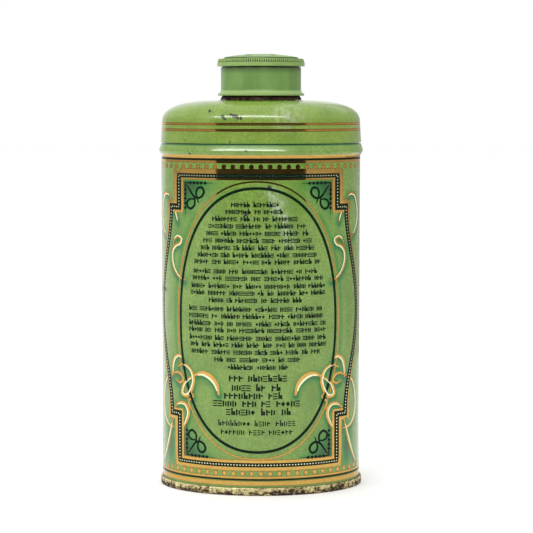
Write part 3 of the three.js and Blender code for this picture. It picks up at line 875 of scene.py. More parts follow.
dial = stitched_skin("dial_moulding", [
    pierced_ring(dial_top, dial_inner_top, 0.0),
    turned_rows(top_radius[:6], top_height[:6], dial_sector_angles),
    bridge_rings(top_radius[5], top_height[5], top_radius[6], top_height[6], dial_sector_angles, rim_angles),
    turned_rows(np.append(top_radius[6:], knurl_root), np.append(top_height[6:], rim_height), rim_angles),
    (knurl_grid.reshape(-1, 3), knurl_faces),
    turned_rows(under_radius[:2], under_height[:2], rim_angles),
    bridge_rings(under_radius[2], under_height[2], under_radius[1], under_height[1],
                 dial_sector_angles, rim_angles),
    turned_rows(under_radius[2:], under_height[2:], dial_sector_angles),
    turned_rows(dial_hub, dial_top - dome_drop(dial_hub), dial_sector_angles),
    turned_rows(*stem_under, dial_sector_angles),
])
keep_edges(dial, 35)
dial_x, dial_y, dial_z = points_of(dial).T
dial_reach = np.hypot(dial_x, dial_y)
# The grooves between the knurl's teeth are darkened.
knurl_grooves_darkened = (dial_z > knurl_base) * (dial_z < rim_height - 0.3) \
    * np.clip((knurl_radius - 0.04 - dial_reach) / 0.16, 0, 1) * (dial_reach > dome_edge + 0.8)
teeth = (dial_z > knurl_base) & (dial_z < rim_height + 0.01)
# The teeth's tips and the plain band under them are made paler, partly as wear and partly as painted
# highlight, and a ring of painted shade lies in the well between the dome and the rim.
set_mask(dial, "rubbed_and_painted_highlight", 0.9 * teeth * (dial_reach > knurl_radius - 0.05) + 0.25 * (dial_z < knurl_base))
set_mask(dial, "grime_and_painted_shade", knurl_grooves_darkened + 0.7 * np.exp(-((dial_reach - dome_edge - 0.1) / 0.22) ** 2))
dial.data.materials.append(green_plastic("moulded_green_plastic_dial", ink(127, 160, 79), ink(101, 138, 56)))
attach(dial, "dial")
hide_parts("turn_dial")

# ---------------------------------------------------------------- printed design
# The litho print on the wall and the cover's skirt, each ink a film of its own: brown key lines, gold over
# them, dark green, cream lights and pale metal beads. Every shape is laid out flat, along the wall and up it.

panel_shift = -1.15
film_root = 0.05
press_table = steps(-np.pi, np.pi, 4001)
run_x = tin_half_width * np.sin(press_table)
run_y = -tin_half_depth * np.cos(press_table)
run_length = np.concatenate([[0], np.cumsum(np.hypot(np.diff(run_x), np.diff(run_y)))])
girth = run_length[-1]
run_length -= girth / 2


def wall_surface(angle, up):
    """How far the wall's outer face stands off the plain oval."""
    return wall_grow(up) + wall_dents(angle, up)


def skirt_surface(angle, up):
    """The same for the skirt of the cover, which the print on it follows."""
    return -skirt_inset + skirt_flare * (skirt_top - up) / skirt_height + cover_dents(angle, up)


def on_tin(along, up, lift, surface=wall_surface):
    """The flat layout bent round the tin: along is measured round the oval from the front's middle, and the
    point is on the oval that the surface's offset and the lift make larger by d: ((a + d) sin t,
    -(b + d) cos t)."""
    angle = np.interp((along + girth / 2) % girth - girth / 2, run_length, press_table)
    off = surface(angle, up) + lift
    return np.stack([(tin_half_width + off) * np.sin(angle), -(tin_half_depth + off) * np.cos(angle),
                     np.broadcast_to(up, off.shape)], -1)


# Each ink's shapes, and how far its face stands off the surface.
film_parts = {"brown": [], "gold": [], "dark": [], "cream": [], "pale": []}
lifts = {"brown": 0.012, "gold": 0.024, "dark": 0.036, "cream": 0.048, "pale": 0.048}


def lay_grid(colour, along, up, closed=False, surface=wall_surface):
    """Lays a grid of flat points as a film: its face stands off the wall, its back is sunk into it, and its
    edge is closed all round."""
    face = on_tin(along, up, lifts[colour], surface)
    back = on_tin(along, up, -film_root, surface)
    rows, columns = along.shape
    number = np.arange(rows * columns).reshape(rows, columns)
    if closed:
        number = np.vstack([number, number[:1]])
    top = np.stack([number[:-1, :-1], number[:-1, 1:], number[1:, 1:], number[1:, :-1]], 2).reshape(-1, 4)
    if closed:
        edges = [number[:, 0], number[::-1, -1]]
    else:
        edges = [np.concatenate([number[0, :], number[1:, -1], number[-1, -2::-1], number[-2::-1, 0]])]
    under = rows * columns
    sides = [np.stack([edge[1:], edge[:-1], edge[:-1] + under, edge[1:] + under], 1) for edge in edges]
    faces = np.vstack([top, top[:, ::-1] + under, *sides])
    film_parts[colour].append((np.vstack([face.reshape(-1, 3), back.reshape(-1, 3)]), faces))


def stroke(colour, path, left, right=None, closed=False):
    """A line of ink from one distance left of a path to another right of it, half the given width each if
    there is no second. Points move along the mean normal of the stretches that meet there, further at a
    sharp corner. The film has a column of faces to each 0.9 mm of its width."""
    path = np.asarray(path, float)
    left, right = (np.asarray(left) / 2, np.asarray(left) / 2) if right is None else (left, right)
    run = np.diff(np.vstack([path, path[:1]]) if closed else path, axis=0)
    run /= np.maximum(np.linalg.norm(run, axis=1, keepdims=True), 1e-9)
    before = np.roll(run, 1, 0) if closed else np.vstack([run[:1], run])
    after = run if closed else np.vstack([run, run[-1:]])
    mean = before + after
    mean /= np.maximum(np.linalg.norm(mean, axis=1, keepdims=True), 1e-9)
    side = np.stack([-mean[:, 1], mean[:, 0]], 1) / np.maximum((mean * before).sum(1), 0.6)[:, None]
    columns = int(np.ceil(np.max(np.add(left, right)) / 0.9)) + 1
    first, last = np.broadcast_to(left, len(path)), -np.broadcast_to(right, len(path))
    across = first[:, None] + (last - first)[:, None] * steps(0, 1, columns)
    lay_grid(colour, path[:, :1] + side[:, :1] * across, path[:, 1:] + side[:, 1:] * across, closed)


def key_lined(colour, path, width, closed=False, key=0.14):
    """A line of gold with a thin brown key line showing on both sides."""
    stroke("brown", path, np.asarray(width) + 2 * key, closed=closed)
    stroke(colour, path, width, closed=closed)


def pads(colour, centres, outline):
    """Small flat shapes of one outline, one at each centre, as closed films."""
    centres, outline = np.asarray(centres, float), np.asarray(outline, float)
    corners = centres[:, None] + outline[None]
    face = on_tin(corners[..., 0], corners[..., 1], lifts[colour])
    back = on_tin(corners[..., 0], corners[..., 1], -film_root)
    count, sides = corners.shape[:2]
    number = np.arange(count * sides).reshape(count, sides)
    beyond, under = np.roll(number, -1, 1), count * sides
    walls = np.stack([beyond, number, number + under, beyond + under], 2).reshape(-1, 4).tolist()
    faces = number.tolist() + (number[:, ::-1] + under).tolist() + walls
    film_parts[colour].append((np.vstack([face.reshape(-1, 3), back.reshape(-1, 3)]), faces))


def disc(radius_along, radius_up, sides):
    """A round or oval outline."""
    turn = steps(0, 2 * np.pi, sides + 1)[:-1]
    return np.stack([radius_along * np.cos(turn), radius_up * np.sin(turn)], 1)


def block(width, height, lean=0.0):
    """A four-sided outline, leaning if asked."""
    return np.array([[-width - lean, -height], [width - lean, -height], [width + lean, height],
                     [-width + lean, height]]) / 2


def dense(corners, spacing=0.7):
    """A path through the corners with extra points so that none are further apart than the spacing."""
    corners = np.asarray(corners, float)
    pieces = []
    for start, end in zip(corners[:-1], corners[1:]):
        count = max(int(np.ceil(np.linalg.norm(end - start) / spacing)), 1)
        pieces.append(start + (end - start) * steps(0, 1, count + 1)[:-1, None])
    return np.vstack([*pieces, corners[-1:]])


def smooth(knots, spacing=0.45):
    """A smooth curve through given points: cubic stretches whose tangents are the chords of the
    neighbours, blended by 2t^3 - 3t^2 + 1, t^3 - 2t^2 + t, 3t^2 - 2t^3 and t^3 - t^2."""
    knots = np.asarray(knots, float)
    gap = np.linalg.norm(np.diff(knots, axis=0), axis=1)
    place = np.concatenate([[0], np.cumsum(gap)])
    slope = np.gradient(knots, place, axis=0)
    at = steps(0, place[-1], max(int(place[-1] / spacing), 8))
    stretch = np.clip(np.searchsorted(place, at, side="right") - 1, 0, len(gap) - 1)
    part = ((at - place[stretch]) / gap[stretch])[:, None]
    span = gap[stretch][:, None]
    return ((2 * part**3 - 3 * part**2 + 1) * knots[stretch]
            + (part**3 - 2 * part**2 + part) * span * slope[stretch]
            + (-2 * part**3 + 3 * part**2) * knots[stretch + 1]
            + (part**3 - part**2) * span * slope[stretch + 1])


def level_line(colour, low, high, surface=wall_surface, margin=0.0):
    """A line of ink right round the tin between two heights, a little wider if there is a margin."""
    along = steps(-girth / 2, girth / 2, 301)[:-1, None]
    up = steps(high + margin, low - margin, max(int((high - low) / 0.3), 1) + 1)[None]
    lay_grid(colour, np.repeat(along, up.size, 1), np.repeat(up, along.size, 0), True, surface)


# Lines right round: two gold lines on the cover's skirt, and the borders at the wall's two ends.
skirt_lines = ((113.2, 113.7), (111.35, 111.85))
gold_borders = ((103.15, 104.2), (101.75, 102.45), (5.25, 5.75), (3.1, 4.3))
dark_borders = ((102.5, 103.1), (4.6, 5.1))
dot_rows = (100.55, 6.72)
for low, high in skirt_lines:
    level_line("brown", low, high, skirt_surface, margin=0.16)
    level_line("gold", low, high, skirt_surface)
for low, high in gold_borders:
    level_line("brown", low, high, margin=0.09)
    level_line("gold", low, high)
for low, high in dark_borders:
    level_line("dark", low, high)

dot_count = 59
dot_pitch = girth / dot_count
for row_height in dot_rows:
    dot_row = np.stack([dot_pitch * np.arange(dot_count), np.full(dot_count, row_height)], 1)
    pads("brown", dot_row, disc(0.74, 0.78, 14))
    pads("gold", dot_row, disc(0.58, 0.62, 14))

# The panel's frame: a dark band with a string of tiny beads on it, between two gold ones. It is stepped at
# its corners and bowed between them.
frame_half, frame_top, frame_base = 26.2, 97.8, 9.4
step_half, upper_step, lower_step = 29.95, 88.1, 24.0
frame_bow = 6.2
bow_part = steps(0, 1, 78)
bow_bell = (1 - np.cos(2 * np.pi * bow_part)) / 2
bow_side = np.stack([step_half + frame_bow * bow_bell, upper_step + (lower_step - upper_step) * bow_part], 1)
frame_side = np.vstack([
    dense([(0, frame_top), (frame_half, frame_top), (frame_half, upper_step), (step_half, upper_step)])[:-1],
    bow_side,
    dense([(step_half, lower_step), (frame_half, lower_step), (frame_half, frame_base), (0, frame_base)])[1:],
])
frame_loop = np.vstack([frame_side, (frame_side * [-1, 1])[::-1][1:-1]])

# How far the dark band and the gold on each side of it reach from the frame's line, at heights up the frame.
frame_heights = [frame_base, frame_base + 1.5, lower_step - 0.5, lower_step + 2, 35, 78, upper_step - 2,
                 upper_step + 0.5, frame_top - 1.5, frame_top]
frame_up = frame_loop[:, 1]
band_reach = np.interp(frame_up, frame_heights, [0.66, 0.95, 0.95, 0.95, 0.9, 0.85, 0.85, 1.0, 1.0, 0.68])
outer_reach = np.interp(frame_up, frame_heights, [1.7, 2.1, 2.1, 1.5, 1.2, 1.2, 1.6, 2.1, 2.2, 2.06])
inner_reach = np.interp(frame_up, frame_heights, [1.5, 1.75, 1.75, 0.6, 0.5, 0.5, 0.6, 2.0, 2.0, 1.1])

# The two long ovals inside it, power curves whose widest place is a little below the middle.
oval_power = 2.2
oval_middle = 53.5
oval_turn = steps(0, 2 * np.pi, 241)[:-1]
gold_oval_half, gold_oval_top, gold_oval_base = 26.75, 96.1, 11.2
dark_oval_half, dark_oval_top, dark_oval_base = 25.55, 94.1, 13.4
bead_spacing = 0.95


def long_oval(half_width, top, base):
    """An oval line: half width times a power of the sine, and its rise or fall times that of the cosine."""
    side, rise = np.sin(oval_turn), np.cos(oval_turn)
    reach = np.where(rise > 0, top - oval_middle, oval_middle - base)
    return np.stack([half_width * np.sign(side) * np.abs(side) ** (2 / oval_power),
                     oval_middle + reach * np.sign(rise) * np.abs(rise) ** (2 / oval_power)], 1)


# The border's ribbons on the right side. Each has its points, outwards from the panel's middle and up, then
# its broadest width, the width of its cream light, and that light's side: 1 is left of the way it runs.
ribbons = [
    ([(29.6, 89.6), (31.6, 92.0), (34.4, 91.8), (36.6, 88.8), (37.1, 84.0), (35.4, 80.8), (32.4, 78.4)],
     1.1, 0.36, -1),
    ([(28.0, 87.0), (27.3, 85.4), (26.6, 83.4)], 0.4, 0.3, 1),
    ([(29.2, 75.6), (28.4, 77.9), (26.6, 79.0), (25.3, 78.2), (25.9, 76.9), (27.7, 76.2), (29.2, 74.6),
      (29.5, 71.6), (28.6, 69.2), (27.0, 67.2), (25.2, 66.0), (23.6, 65.7)], 0.85, 0.34, -1),
    ([(29.6, 35.2), (29.5, 38.6), (28.2, 41.4), (26.2, 42.2), (24.6, 41.2)], 1.0, 0.36, 1),
    ([(27.0, 38.6), (24.4, 39.6), (21.8, 38.3), (20.5, 35.4), (21.2, 32.2), (23.3, 29.8), (25.0, 30.2),
      (24.8, 32.6), (22.6, 35.0), (19.4, 36.6)], 1.0, 0.36, 1),
    ([(20.4, 36.4), (17.6, 37.3), (14.9, 36.4), (12.8, 34.2), (11.8, 30.8)], 1.6, 0.6, 1),
    ([(29.8, 35.8), (27.6, 36.8), (25.4, 36.2), (24.6, 34.7), (26.0, 33.7), (27.9, 34.4)], 0.7, 0.0, 1),
    ([(30.4, 35.8), (33.4, 34.2), (35.4, 30.6), (36.1, 25.6), (34.8, 22.0), (32.0, 19.6), (28.8, 19.4)],
     1.0, 0.36, -1),
    ([(28.6, 25.8), (26.2, 27.4), (23.8, 27.2), (22.5, 24.9), (23.2, 22.2), (25.0, 19.4)], 1.0, 0.36, 1),
    ([(29.4, 22.2), (31.0, 17.4), (33.4, 11.8), (36.4, 7.0)], 0.85, 0.4, 1),
    ([(22.0, 31.4), (20.6, 30.0), (22.4, 28.2), (21.8, 25.6)], 0.5, 0.0, 1),
]

# A generic corner spray: a ruled angle with beads and lozenges on it, and a stem with two round loops.
corner_rules = [((23.5, 95.6), (13.6, 95.6)), ((23.5, 95.6), (23.5, 85.8))]
corner_loops = [
    [(23.0, 95.0), (21.6, 93.2), (20.3, 91.6), (18.9, 91.0), (17.4, 91.6), (16.7, 93.0), (17.4, 94.2),
     (18.8, 94.0), (19.4, 92.7), (19.0, 91.0), (18.5, 89.4)],
    [(20.6, 92.2), (19.9, 90.4), (20.2, 88.6), (21.5, 87.7), (22.7, 88.5), (22.6, 90.0), (21.3, 90.7),
     (19.6, 90.4)],
]


def corner_path(points, turned, flip, shift):
    """The upper right corner's points carried to a corner of a panel: turned is for the lower ones."""
    points = np.asarray(points, float)
    if turned:
        points = np.stack([points[:, 0] - 0.3, 107.0 - points[:, 1]], 1)
    return points * flip + shift


def print_panel(middle, with_notes):
    """Prints one panel, centred at a distance along the wall: the frame, the ovals, the ribbons and the
    corners, and inside the ovals either rows of greeked notes or a generic rosette. Returns the paths that
    cast a shade."""
    shift = np.array([middle, 0.0])
    stroke("brown", frame_loop + shift, outer_reach + 0.14, inner_reach + 0.14, True)
    stroke("gold", frame_loop + shift, outer_reach, inner_reach, True)
    stroke("dark", frame_loop + shift, band_reach, band_reach, True)
    walk = np.vstack([frame_loop, frame_loop[:1]])
    reach = np.concatenate([[0], np.cumsum(np.linalg.norm(np.diff(walk, axis=0), axis=1))])
    bead_at = steps(0, reach[-1], int(reach[-1] / bead_spacing) + 1)[:-1]
    beads = np.stack([np.interp(bead_at, reach, walk[:, 0]), np.interp(bead_at, reach, walk[:, 1])], 1)
    pads("pale", beads + shift, disc(0.23, 0.2, 6))
    key_lined("gold", long_oval(gold_oval_half, gold_oval_top, gold_oval_base) + shift, 0.26, True, 0.12)
    stroke("dark", long_oval(dark_oval_half, dark_oval_top, dark_oval_base) + shift, 0.86, closed=True)
    shaded = []
    for mirror in (1, -1):
        flip = np.array([mirror, 1.0])
        for knots, width, light, light_side in ribbons:
            path = smooth(knots) * flip + shift
            part = steps(0, 1, len(path))
            swell = width / 2 * (0.25 + 0.75 * np.sin(np.pi * part) ** 0.8)
            key_lined("gold", path, 2 * swell, False, 0.1)
            if light:
                lit = (part > 0.1) & (part < 0.92)
                far = swell[lit] + 0.1
                near = far - light * np.sin(np.pi * part[lit]) ** 0.7 - 0.06
                sides = (far, -near) if light_side * mirror > 0 else (-near, far)
                stroke("cream", path[lit], *sides)
            shaded.append(path)
        for turned in (False, True):
            for start, end in corner_rules:
                rule = corner_path(dense([start, end]), turned, flip, shift)
                stroke("dark", rule, 0.42 - 0.3 * steps(0, 1, len(rule)))
                pads("dark", rule[[5, 9, 11]], disc(0.5, 0.5, 8))
                pads("dark", rule[[3, 7]], disc(0.62, 0.62, 4))
            for loop in corner_loops:
                path = corner_path(smooth(loop, 0.3), turned, flip, shift)
                stroke("dark", path, 0.26 + 0.48 * np.sin(np.pi * steps(0, 1, len(path))) ** 0.6)
    if with_notes:
        print_notes(middle)
    else:
        print_rosette(middle)
    return shaded


# The rows of notes: the height of each and half of its length, first in small marks and then in tall ones.
small_rows = [
    (89.1, 7.6), (87.0, 9.3), (84.8, 13.6), (82.6, 14.7), (80.4, 15.5), (78.2, 16.6), (76.0, 17.4),
    (73.8, 18.5), (71.7, 19.7), (68.8, 20.0), (66.7, 20.3), (64.3, 20.8), (62.2, 21.0), (60.0, 14.8),
    (57.3, 21.7), (55.1, 21.7), (52.8, 21.7), (50.8, 21.7), (48.4, 21.5), (46.3, 21.2), (44.1, 20.8),
    (41.8, 13.0), (39.5, 8.7),
]
tall_rows = [(36.1, 8.4), (33.2, 7.5), (30.7, 9.9), (28.3, 13.4), (25.7, 9.2)]
last_rows = [(22.2, 11.8), (19.5, 11.0)]
mark_pitch, mark_broad = 0.98, 1.42
small_mark_high, large_mark_high = 1.32, 1.1


def print_notes(middle):
    """Greeked notes, which say nothing: each row is short runs of abstract marks, made of upright ticks,
    dashes, blocks and lozenges in no order that means anything."""
    random = np.random.default_rng(41)
    marks = {"ticks": [], "tall": [], "dashes": [], "branch": [], "lozenge": []}
    for rows, size, weight in ((small_rows, 1.0, 1.0), (tall_rows, 1.55, 1.35), (last_rows, 1.3, 0.95)):
        for height, half_line in rows:
            at, stop = middle - half_line - 0.4, middle + half_line + 0.6
            while at < stop - size:
                run = random.integers(2, 9)
                for kind in random.choice(list(marks), run, p=[0.3, 0.24, 0.16, 0.2, 0.1]):
                    if at < stop - 0.5 * size:
                        marks[kind].append((at + 0.45 * size, height, size, weight))
                        at += mark_pitch * size
                at += random.uniform(0.75, 1.15) * size

    def place(kind, shift_along, shift_up, width, high, outline=None):
        for size, weight in {(mark[2], mark[3]) for mark in marks[kind]}:
            spots = np.array([mark[:2] for mark in marks[kind] if mark[2] == size])
            mark_high = small_mark_high if size == 1.0 else large_mark_high
            shape = outline * size if outline is not None \
                else block(mark_broad * width * weight, mark_high * high * size)
            pads("dark", spots + np.array([shift_along, shift_up]) * size, shape)

    place("ticks", -0.24, 0.0, 0.25, 1.05)
    place("ticks", 0.26, 0.0, 0.25, 0.8)
    place("tall", -0.22, 0.16, 0.26, 1.3)
    place("tall", 0.2, -0.16, 0.36, 0.7)
    place("dashes", 0.0, -0.48, 0.74, 0.2)
    place("dashes", 0.0, 0.0, 0.66, 0.19)
    place("dashes", 0.0, 0.48, 0.74, 0.2)
    place("branch", -0.22, 0.0, 0.25, 1.05)
    place("branch", 0.16, 0.12, 0.46, 0.26)
    place("lozenge", 0.0, 0.0, 0.0, 0.0, disc(0.44, 0.5, 4))


def print_rosette(middle):
    """A generic rosette for the panel with no notes: rings of petals round a disc, and two plain rules."""
    for reach, petals, length in ((6.0, 16, 3.2), (11.5, 24, 4.4)):
        for i in range(petals):
            turn = 2 * np.pi * i / petals
            out = np.array([np.sin(turn), np.cos(turn)])
            part = steps(0, 1, 9)[:, None]
            petal = np.array([middle, oval_middle]) + out * (reach + length * part)
            key_lined("gold", petal, 0.1 + 1.1 * np.sin(np.pi * part[:, 0]) ** 0.8, False, 0.1)
    ring_turn = steps(0, 2 * np.pi, 91)[:-1]
    for radius, width in ((4.6, 0.5), (10.3, 0.35), (17.0, 0.6)):
        ring = np.stack([middle + radius * np.sin(ring_turn), oval_middle + radius * np.cos(ring_turn)], 1)
        stroke("dark", ring, width, closed=True)
    for height in (80.0, 26.5):
        stroke("dark", dense([(middle - 9.0, height), (middle + 9.0, height)]), 0.4)


front_shades = print_panel(panel_shift, True)
back_shades = print_panel(girth / 2 + panel_shift, False)


def metallic_ink(name, light, dark, metallic, roughness):
    """Printing ink with metal powder: a fine sparkle of two tints over a mirror base."""
    material, tree, shader = new_finish(name)
    place = place_on(tree)
    sparkle = grain(tree, place, 3200, 3.0, 0.7)
    cloud = grain(tree, place, 180, 4.0, 0.6)
    tint = blend_inks(tree, spread(tree, sparkle, 0.34, 0.66), dark, light)
    tint = blend_inks(tree, spread(tree, cloud, 0.45, 0.75, 0.0, 0.35), tint, dark)
    tree.links.new(tint, shader.inputs["Base Color"])
    rough = spread(tree, cloud, 0.3, 0.7, roughness - 0.02, roughness + 0.03)
    tree.links.new(rough, shader.inputs["Roughness"])
    shader.inputs["Metallic"].default_value = metallic
    raise_by(tree, shader, sparkle, 0.0000005)
    return material


def flat_ink(name, light, dark, roughness, specular):
    """Plain printing ink with the tiny breaks and cloudiness of a litho film."""
    material, tree, shader = new_finish(name)
    place = place_on(tree)
    fine = grain(tree, place, 2600, 3.0, 0.6)
    tint = blend_inks(tree, spread(tree, fine, 0.35, 0.68), dark, light)
    tree.links.new(tint, shader.inputs["Base Color"])
    tree.links.new(spread(tree, fine, 0.3, 0.7, roughness, roughness + 0.1), shader.inputs["Roughness"])
    shader.inputs["Specular IOR Level"].default_value = specular
    return material


film_finishes = {
    "brown": metallic_ink("brown_key_ink", ink(172, 108, 50), ink(122, 70, 30), 0.95, 0.09),
    "gold": metallic_ink("gold_ink", ink(216, 178, 100), ink(180, 140, 68), 0.98, 0.075),
    "dark": flat_ink("dark_green_ink", ink(0, 36, 14), ink(0, 18, 4), 0.25, 0.12),
    "pale": metallic_ink("pale_metal_ink", ink(250, 250, 214), ink(226, 230, 180), 0.98, 0.08),
    "cream": flat_ink("cream_ink", ink(250, 250, 214), ink(232, 232, 180), 0.3, 0.4),
}
for colour, parts in film_parts.items():
    count, film_points, film_faces = 0, [], []
    for part_points, part_faces in parts:
        film_points.append(part_points)
        if isinstance(part_faces, np.ndarray):
            film_faces += (part_faces + count).tolist()
        else:
            film_faces += [[corner_number + count for corner_number in face] for face in part_faces]
        count += len(part_points)
    film = make_skin("print_" + colour, np.vstack(film_points), film_faces)
    keep_edges(film, 40)
    film.data.materials.append(film_finishes[colour])
    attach(film, "tin")

# The soft green shading printed under the ribbons and in the panel's corners, stored on the wall's points.
wall_points = points_of(body)
wall_angle = np.arctan2(wall_points[:, 0] / tin_half_width, -wall_points[:, 1] / tin_half_depth)
wall_along = np.interp(wall_angle, press_table, run_length)
flat_points = np.stack([wall_along, wall_points[:, 2]], 1)
soft_shade = np.zeros(len(flat_points))


def shade_from(paths, reach, strength, offset):
    """How dark each wall point is: strength times a bell curve of its distance to the nearest path point,
    for every second point of the paths."""
    cast = np.vstack(paths)[::2] + offset
    darkest = np.zeros(len(flat_points))
    for start in range(0, len(flat_points), 8000):
        part = flat_points[start:start + 8000]
        gap = (part[:, None, 0] - cast[None, :, 0] + girth / 2) % girth - girth / 2
        away = gap ** 2 + (part[:, None, 1] - cast[None, :, 1]) ** 2
        darkest[start:start + 8000] = strength * np.exp(-away.min(1) / reach ** 2)
    return darkest


for paths in (front_shades, back_shades):
    ribbon_shade = shade_from(paths, reach=1.35, strength=0.85, offset=np.array([0.0, -0.75]))
    soft_shade = np.maximum(soft_shade, ribbon_shade)
# A soft stripe of shade runs up the outside of each gold oval, at half width (1 - |rise|^p)^(1/p) and a gap.
stripe_gap = 1.1
stripe_rise = steps(32.0, 86.0, 201)
stripe_reach = np.where(stripe_rise > oval_middle, gold_oval_top - oval_middle, oval_middle - gold_oval_base)
stripe_out = (1 - (np.abs(stripe_rise - oval_middle) / stripe_reach) ** oval_power) ** (1 / oval_power)
for middle in (panel_shift, girth / 2 + panel_shift):
    for side in (1, -1):
        stripe = np.stack([middle + side * (gold_oval_half * stripe_out + stripe_gap), stripe_rise], 1)
        stripe_shade = shade_from([stripe], reach=0.75, strength=0.5, offset=np.zeros(2))
        soft_shade = np.maximum(soft_shade, stripe_shade)
# A pool of shade fills each corner inside the frame and runs along the corner's rules, and another lies
# beside the frame at its foot.
rule_across, rule_heights = 23.9, (95.6, 11.2)
pool_margin, pool_rise, pool_strength, pool_reach = 0.7, 0.8, 1.25, 8.5
rule_reach, rule_fade_start, rule_fade = 1.7, 1.5, 8
foot_pool_across, foot_pool_height = 31.0, 14.0
foot_pool_width, foot_pool_rise, foot_pool_strength = 2.6, 6.5, 0.95
for middle in (panel_shift, girth / 2 + panel_shift):
    for mirror in (1, -1):
        across = ((flat_points[:, 0] - middle + girth / 2) % girth - girth / 2) * mirror
        for rule_height, inner_way in zip(rule_heights, (-1, 1)):
            inward = np.maximum(rule_across - across, 0)
            past_rule = (flat_points[:, 1] - rule_height) * inner_way
            down = np.maximum(past_rule, 0)
            inside = (across < rule_across + pool_margin) & (across > 0) & (past_rule > -pool_rise)
            pool = pool_strength * np.exp(-((inward + down) / pool_reach) ** 2)
            along_rules = np.exp(-(np.minimum(inward, down) / rule_reach) ** 2) \
                * np.clip(rule_fade_start - np.maximum(inward, down) / rule_fade, 0, 1)
            soft_shade = np.maximum(soft_shade, inside * np.maximum(pool, along_rules))
        beside = np.exp(-((across - foot_pool_across) / foot_pool_width) ** 2
                        - ((flat_points[:, 1] - foot_pool_height) / foot_pool_rise) ** 2)
        soft_shade = np.maximum(soft_shade, foot_pool_strength * beside * (across > 28.2))
# Painted shade in the gap under the cover's hem: the wall is darkened fully above the bead's top, fading out
# just below it.
under_hem = np.maximum(bead_top + 0.02 - flat_points[:, 1], 0)
soft_shade = np.maximum(soft_shade, np.exp(-(under_hem / 0.24) ** 2))
set_mask(body, "soft_shade", soft_shade)
set_mask(body, "chipped", marks_near(body, [
    (-21.6, 104.2, 1.0, 0.62), (-4.6, 105.4, 1.1, 0.6), (20.5, 104.9, 0.8, 0.58),
    (-30.2, 62.0, 2.4, 0.58), (-30.6, 58.5, 1.8, 0.58), (-4.6, 86.4, 1.3, 0.7),
    (-4.3, 84.9, 1.2, 0.7), (2.8, 94.3, 1.3, 0.68), (-28.0, 59.0, 0.9, 0.55),
    (6.6, 8.3, 0.8, 0.6), (8.0, 8.4, 0.7, 0.58),
]))
set_mask(body, "scuffed", marks_near(body, [
    (3.8, 92.4, 1.9, 0.85), (5.0, 89.0, 2.1, 0.85), (6.4, 85.4, 2.0, 0.85),
    (7.6, 81.6, 1.8, 0.85), (8.8, 77.8, 1.5, 0.75),
]))

# ---------------------------------------------------------------- studio
# A pale floor in an even white room, a strip light over the front and a soft one overhead. The bright inks
# mirror a dark screen behind the camera in the upper middle of the front, and grey screens at its two sides.
# One more screen only shades the right side.

scene = bpy.context.scene
scene.view_settings.view_transform = "Standard"

lens_distance = 0.5707
lens_height = 0.1216
lens_side = 0.00172
lens_tilt_deg = 5.318
floor_half = 4
floor_glow = 0.05
aim_height = 0.07

floor_mesh = bpy.data.meshes.new("floor")
floor_corners = [(-floor_half, -floor_half, 0), (floor_half, -floor_half, 0), (floor_half, floor_half, 0),
                 (-floor_half, floor_half, 0)]
floor_mesh.from_pydata(floor_corners, [], [(0, 1, 2, 3)])
floor = bpy.data.objects.new("floor", floor_mesh)
scene.collection.objects.link(floor)
floor_finish, floor_tree, floor_shader = new_finish("pale_floor")
floor_grain = grain(floor_tree, place_on(floor_tree), 40)
floor_tree.links.new(blend_inks(floor_tree, floor_grain, ink(250, 250, 250), ink(246, 246, 246)),
                     floor_shader.inputs["Base Color"])
floor_shader.inputs["Roughness"].default_value = 0.9
floor_shader.inputs["Emission Color"].default_value = (1, 1, 1, 1)
floor_shader.inputs["Emission Strength"].default_value = floor_glow
floor_mesh.materials.append(floor_finish)


def curved_screen(name, from_deg, to_deg, radius, low, high, glow_from, glow_to, glow_low, glow_high):
    """A felt sheet that stands on a circle round the tin between two azimuths, 0 in front and 90 on the
    right. Its glow goes from glow_low to glow_high between two heights. The camera does not see it and it
    casts no shadow."""
    posts = 25
    turn = np.radians(steps(from_deg, to_deg, posts))
    foot = np.stack([radius * np.sin(turn), -radius * np.cos(turn), np.full(posts, low)], 1)
    number = np.arange(posts - 1)
    faces = np.stack([number, number + 1, number + posts + 1, number + posts], 1)
    sheet = bpy.data.meshes.new(name)
    sheet.from_pydata(np.vstack([foot, foot + [0, 0, high - low]]).tolist(), [], faces.tolist())
    screen = bpy.data.objects.new(name, sheet)
    scene.collection.objects.link(screen)
    felt, tree, shader = new_finish(name + "_felt")
    shader.inputs["Base Color"].default_value = ink(8, 8, 8)
    shader.inputs["Roughness"].default_value = 1.0
    shader.inputs["Emission Color"].default_value = (1, 1, 1, 1)
    height = put(tree, "ShaderNodeSeparateXYZ", Vector=place_on(tree)).outputs[2]
    glow = spread(tree, height, glow_from, glow_to, glow_low, glow_high)
    tree.links.new(glow, shader.inputs["Emission Strength"])
    sheet.materials.append(felt)
    screen.visible_camera = False
    screen.visible_shadow = False
    return screen


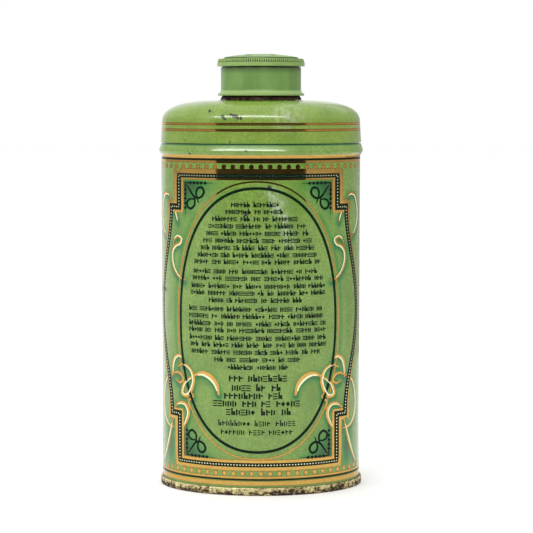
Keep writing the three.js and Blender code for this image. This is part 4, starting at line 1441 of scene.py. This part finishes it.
screen_top = 0.42
grey_glow = {"radius": 1.12, "low": 0.02, "high": screen_top, "glow_from": 0.02, "glow_to": 0.06,
             "glow_low": 1.0, "glow_high": 0.5}
mirrored_screens = [
    curved_screen("dark_screen", -39, 39, radius=1.1, low=0.004, high=screen_top, glow_from=0.16,
                  glow_to=screen_top, glow_low=0.0, glow_high=0.42),
    curved_screen("grey_screen_left", -130, -39, **grey_glow),
    curved_screen("grey_screen_right", 39, 130, **grey_glow),
    curved_screen("grey_screen_far_right", 95, 168, radius=0.3, low=0.0, high=0.3, glow_from=0.0,
                  glow_to=0.1, glow_low=0.55, glow_high=0.55),
]
for screen in mirrored_screens:
    screen.visible_diffuse = False
side_screen = curved_screen("side_screen", 52, 128, radius=1.1, low=0.004, high=0.9, glow_from=0.0,
                            glow_to=1.0, glow_low=0.2, glow_high=0.2)
side_screen.visible_glossy = False

world = bpy.data.worlds.new("soft_room")
world.use_nodes = True
world.node_tree.nodes["Background"].inputs["Color"].default_value = (1, 1, 1, 1)
world.node_tree.nodes["Background"].inputs["Strength"].default_value = 1.0
scene.world = world


def soft_light(name, azimuth_deg, elevation_deg, distance, width, height, brightness):
    """A flat light that faces the tin from an azimuth, which is 0 in front and 90 on the right, and an
    elevation. Its power is its brightness times pi times its area."""
    side, rise = np.radians(azimuth_deg), np.radians(elevation_deg)
    lamp = bpy.data.lights.new(name, "AREA")
    lamp.shape, lamp.size, lamp.size_y = "RECTANGLE", width, height
    lamp.energy = brightness * np.pi * width * height
    light = bpy.data.objects.new(name, lamp)
    light.location = (distance * np.sin(side) * np.cos(rise), -distance * np.cos(side) * np.cos(rise),
                      aim_height + distance * np.sin(rise))
    light.rotation_euler = (np.pi / 2 - rise, 0, side)
    scene.collection.objects.link(light)
    return light


strip = soft_light("strip_over_front", azimuth_deg=-12, elevation_deg=30, distance=1.0, width=1.1,
                   height=0.09, brightness=17.0)
strip.visible_diffuse = False
overhead = soft_light("overhead", azimuth_deg=-30, elevation_deg=80, distance=1.2, width=1.0, height=1.0,
                      brightness=2.4)
overhead.visible_glossy = False

camera_data = bpy.data.cameras.new("camera")
camera_data.sensor_width = 36.0
camera_data.lens = 123.0
camera = bpy.data.objects.new("camera", camera_data)
camera.location = (lens_side, -lens_distance, lens_height)
camera.rotation_euler = (np.radians(90 - lens_tilt_deg), 0, 0)
scene.collection.objects.link(camera)
scene.camera = camera
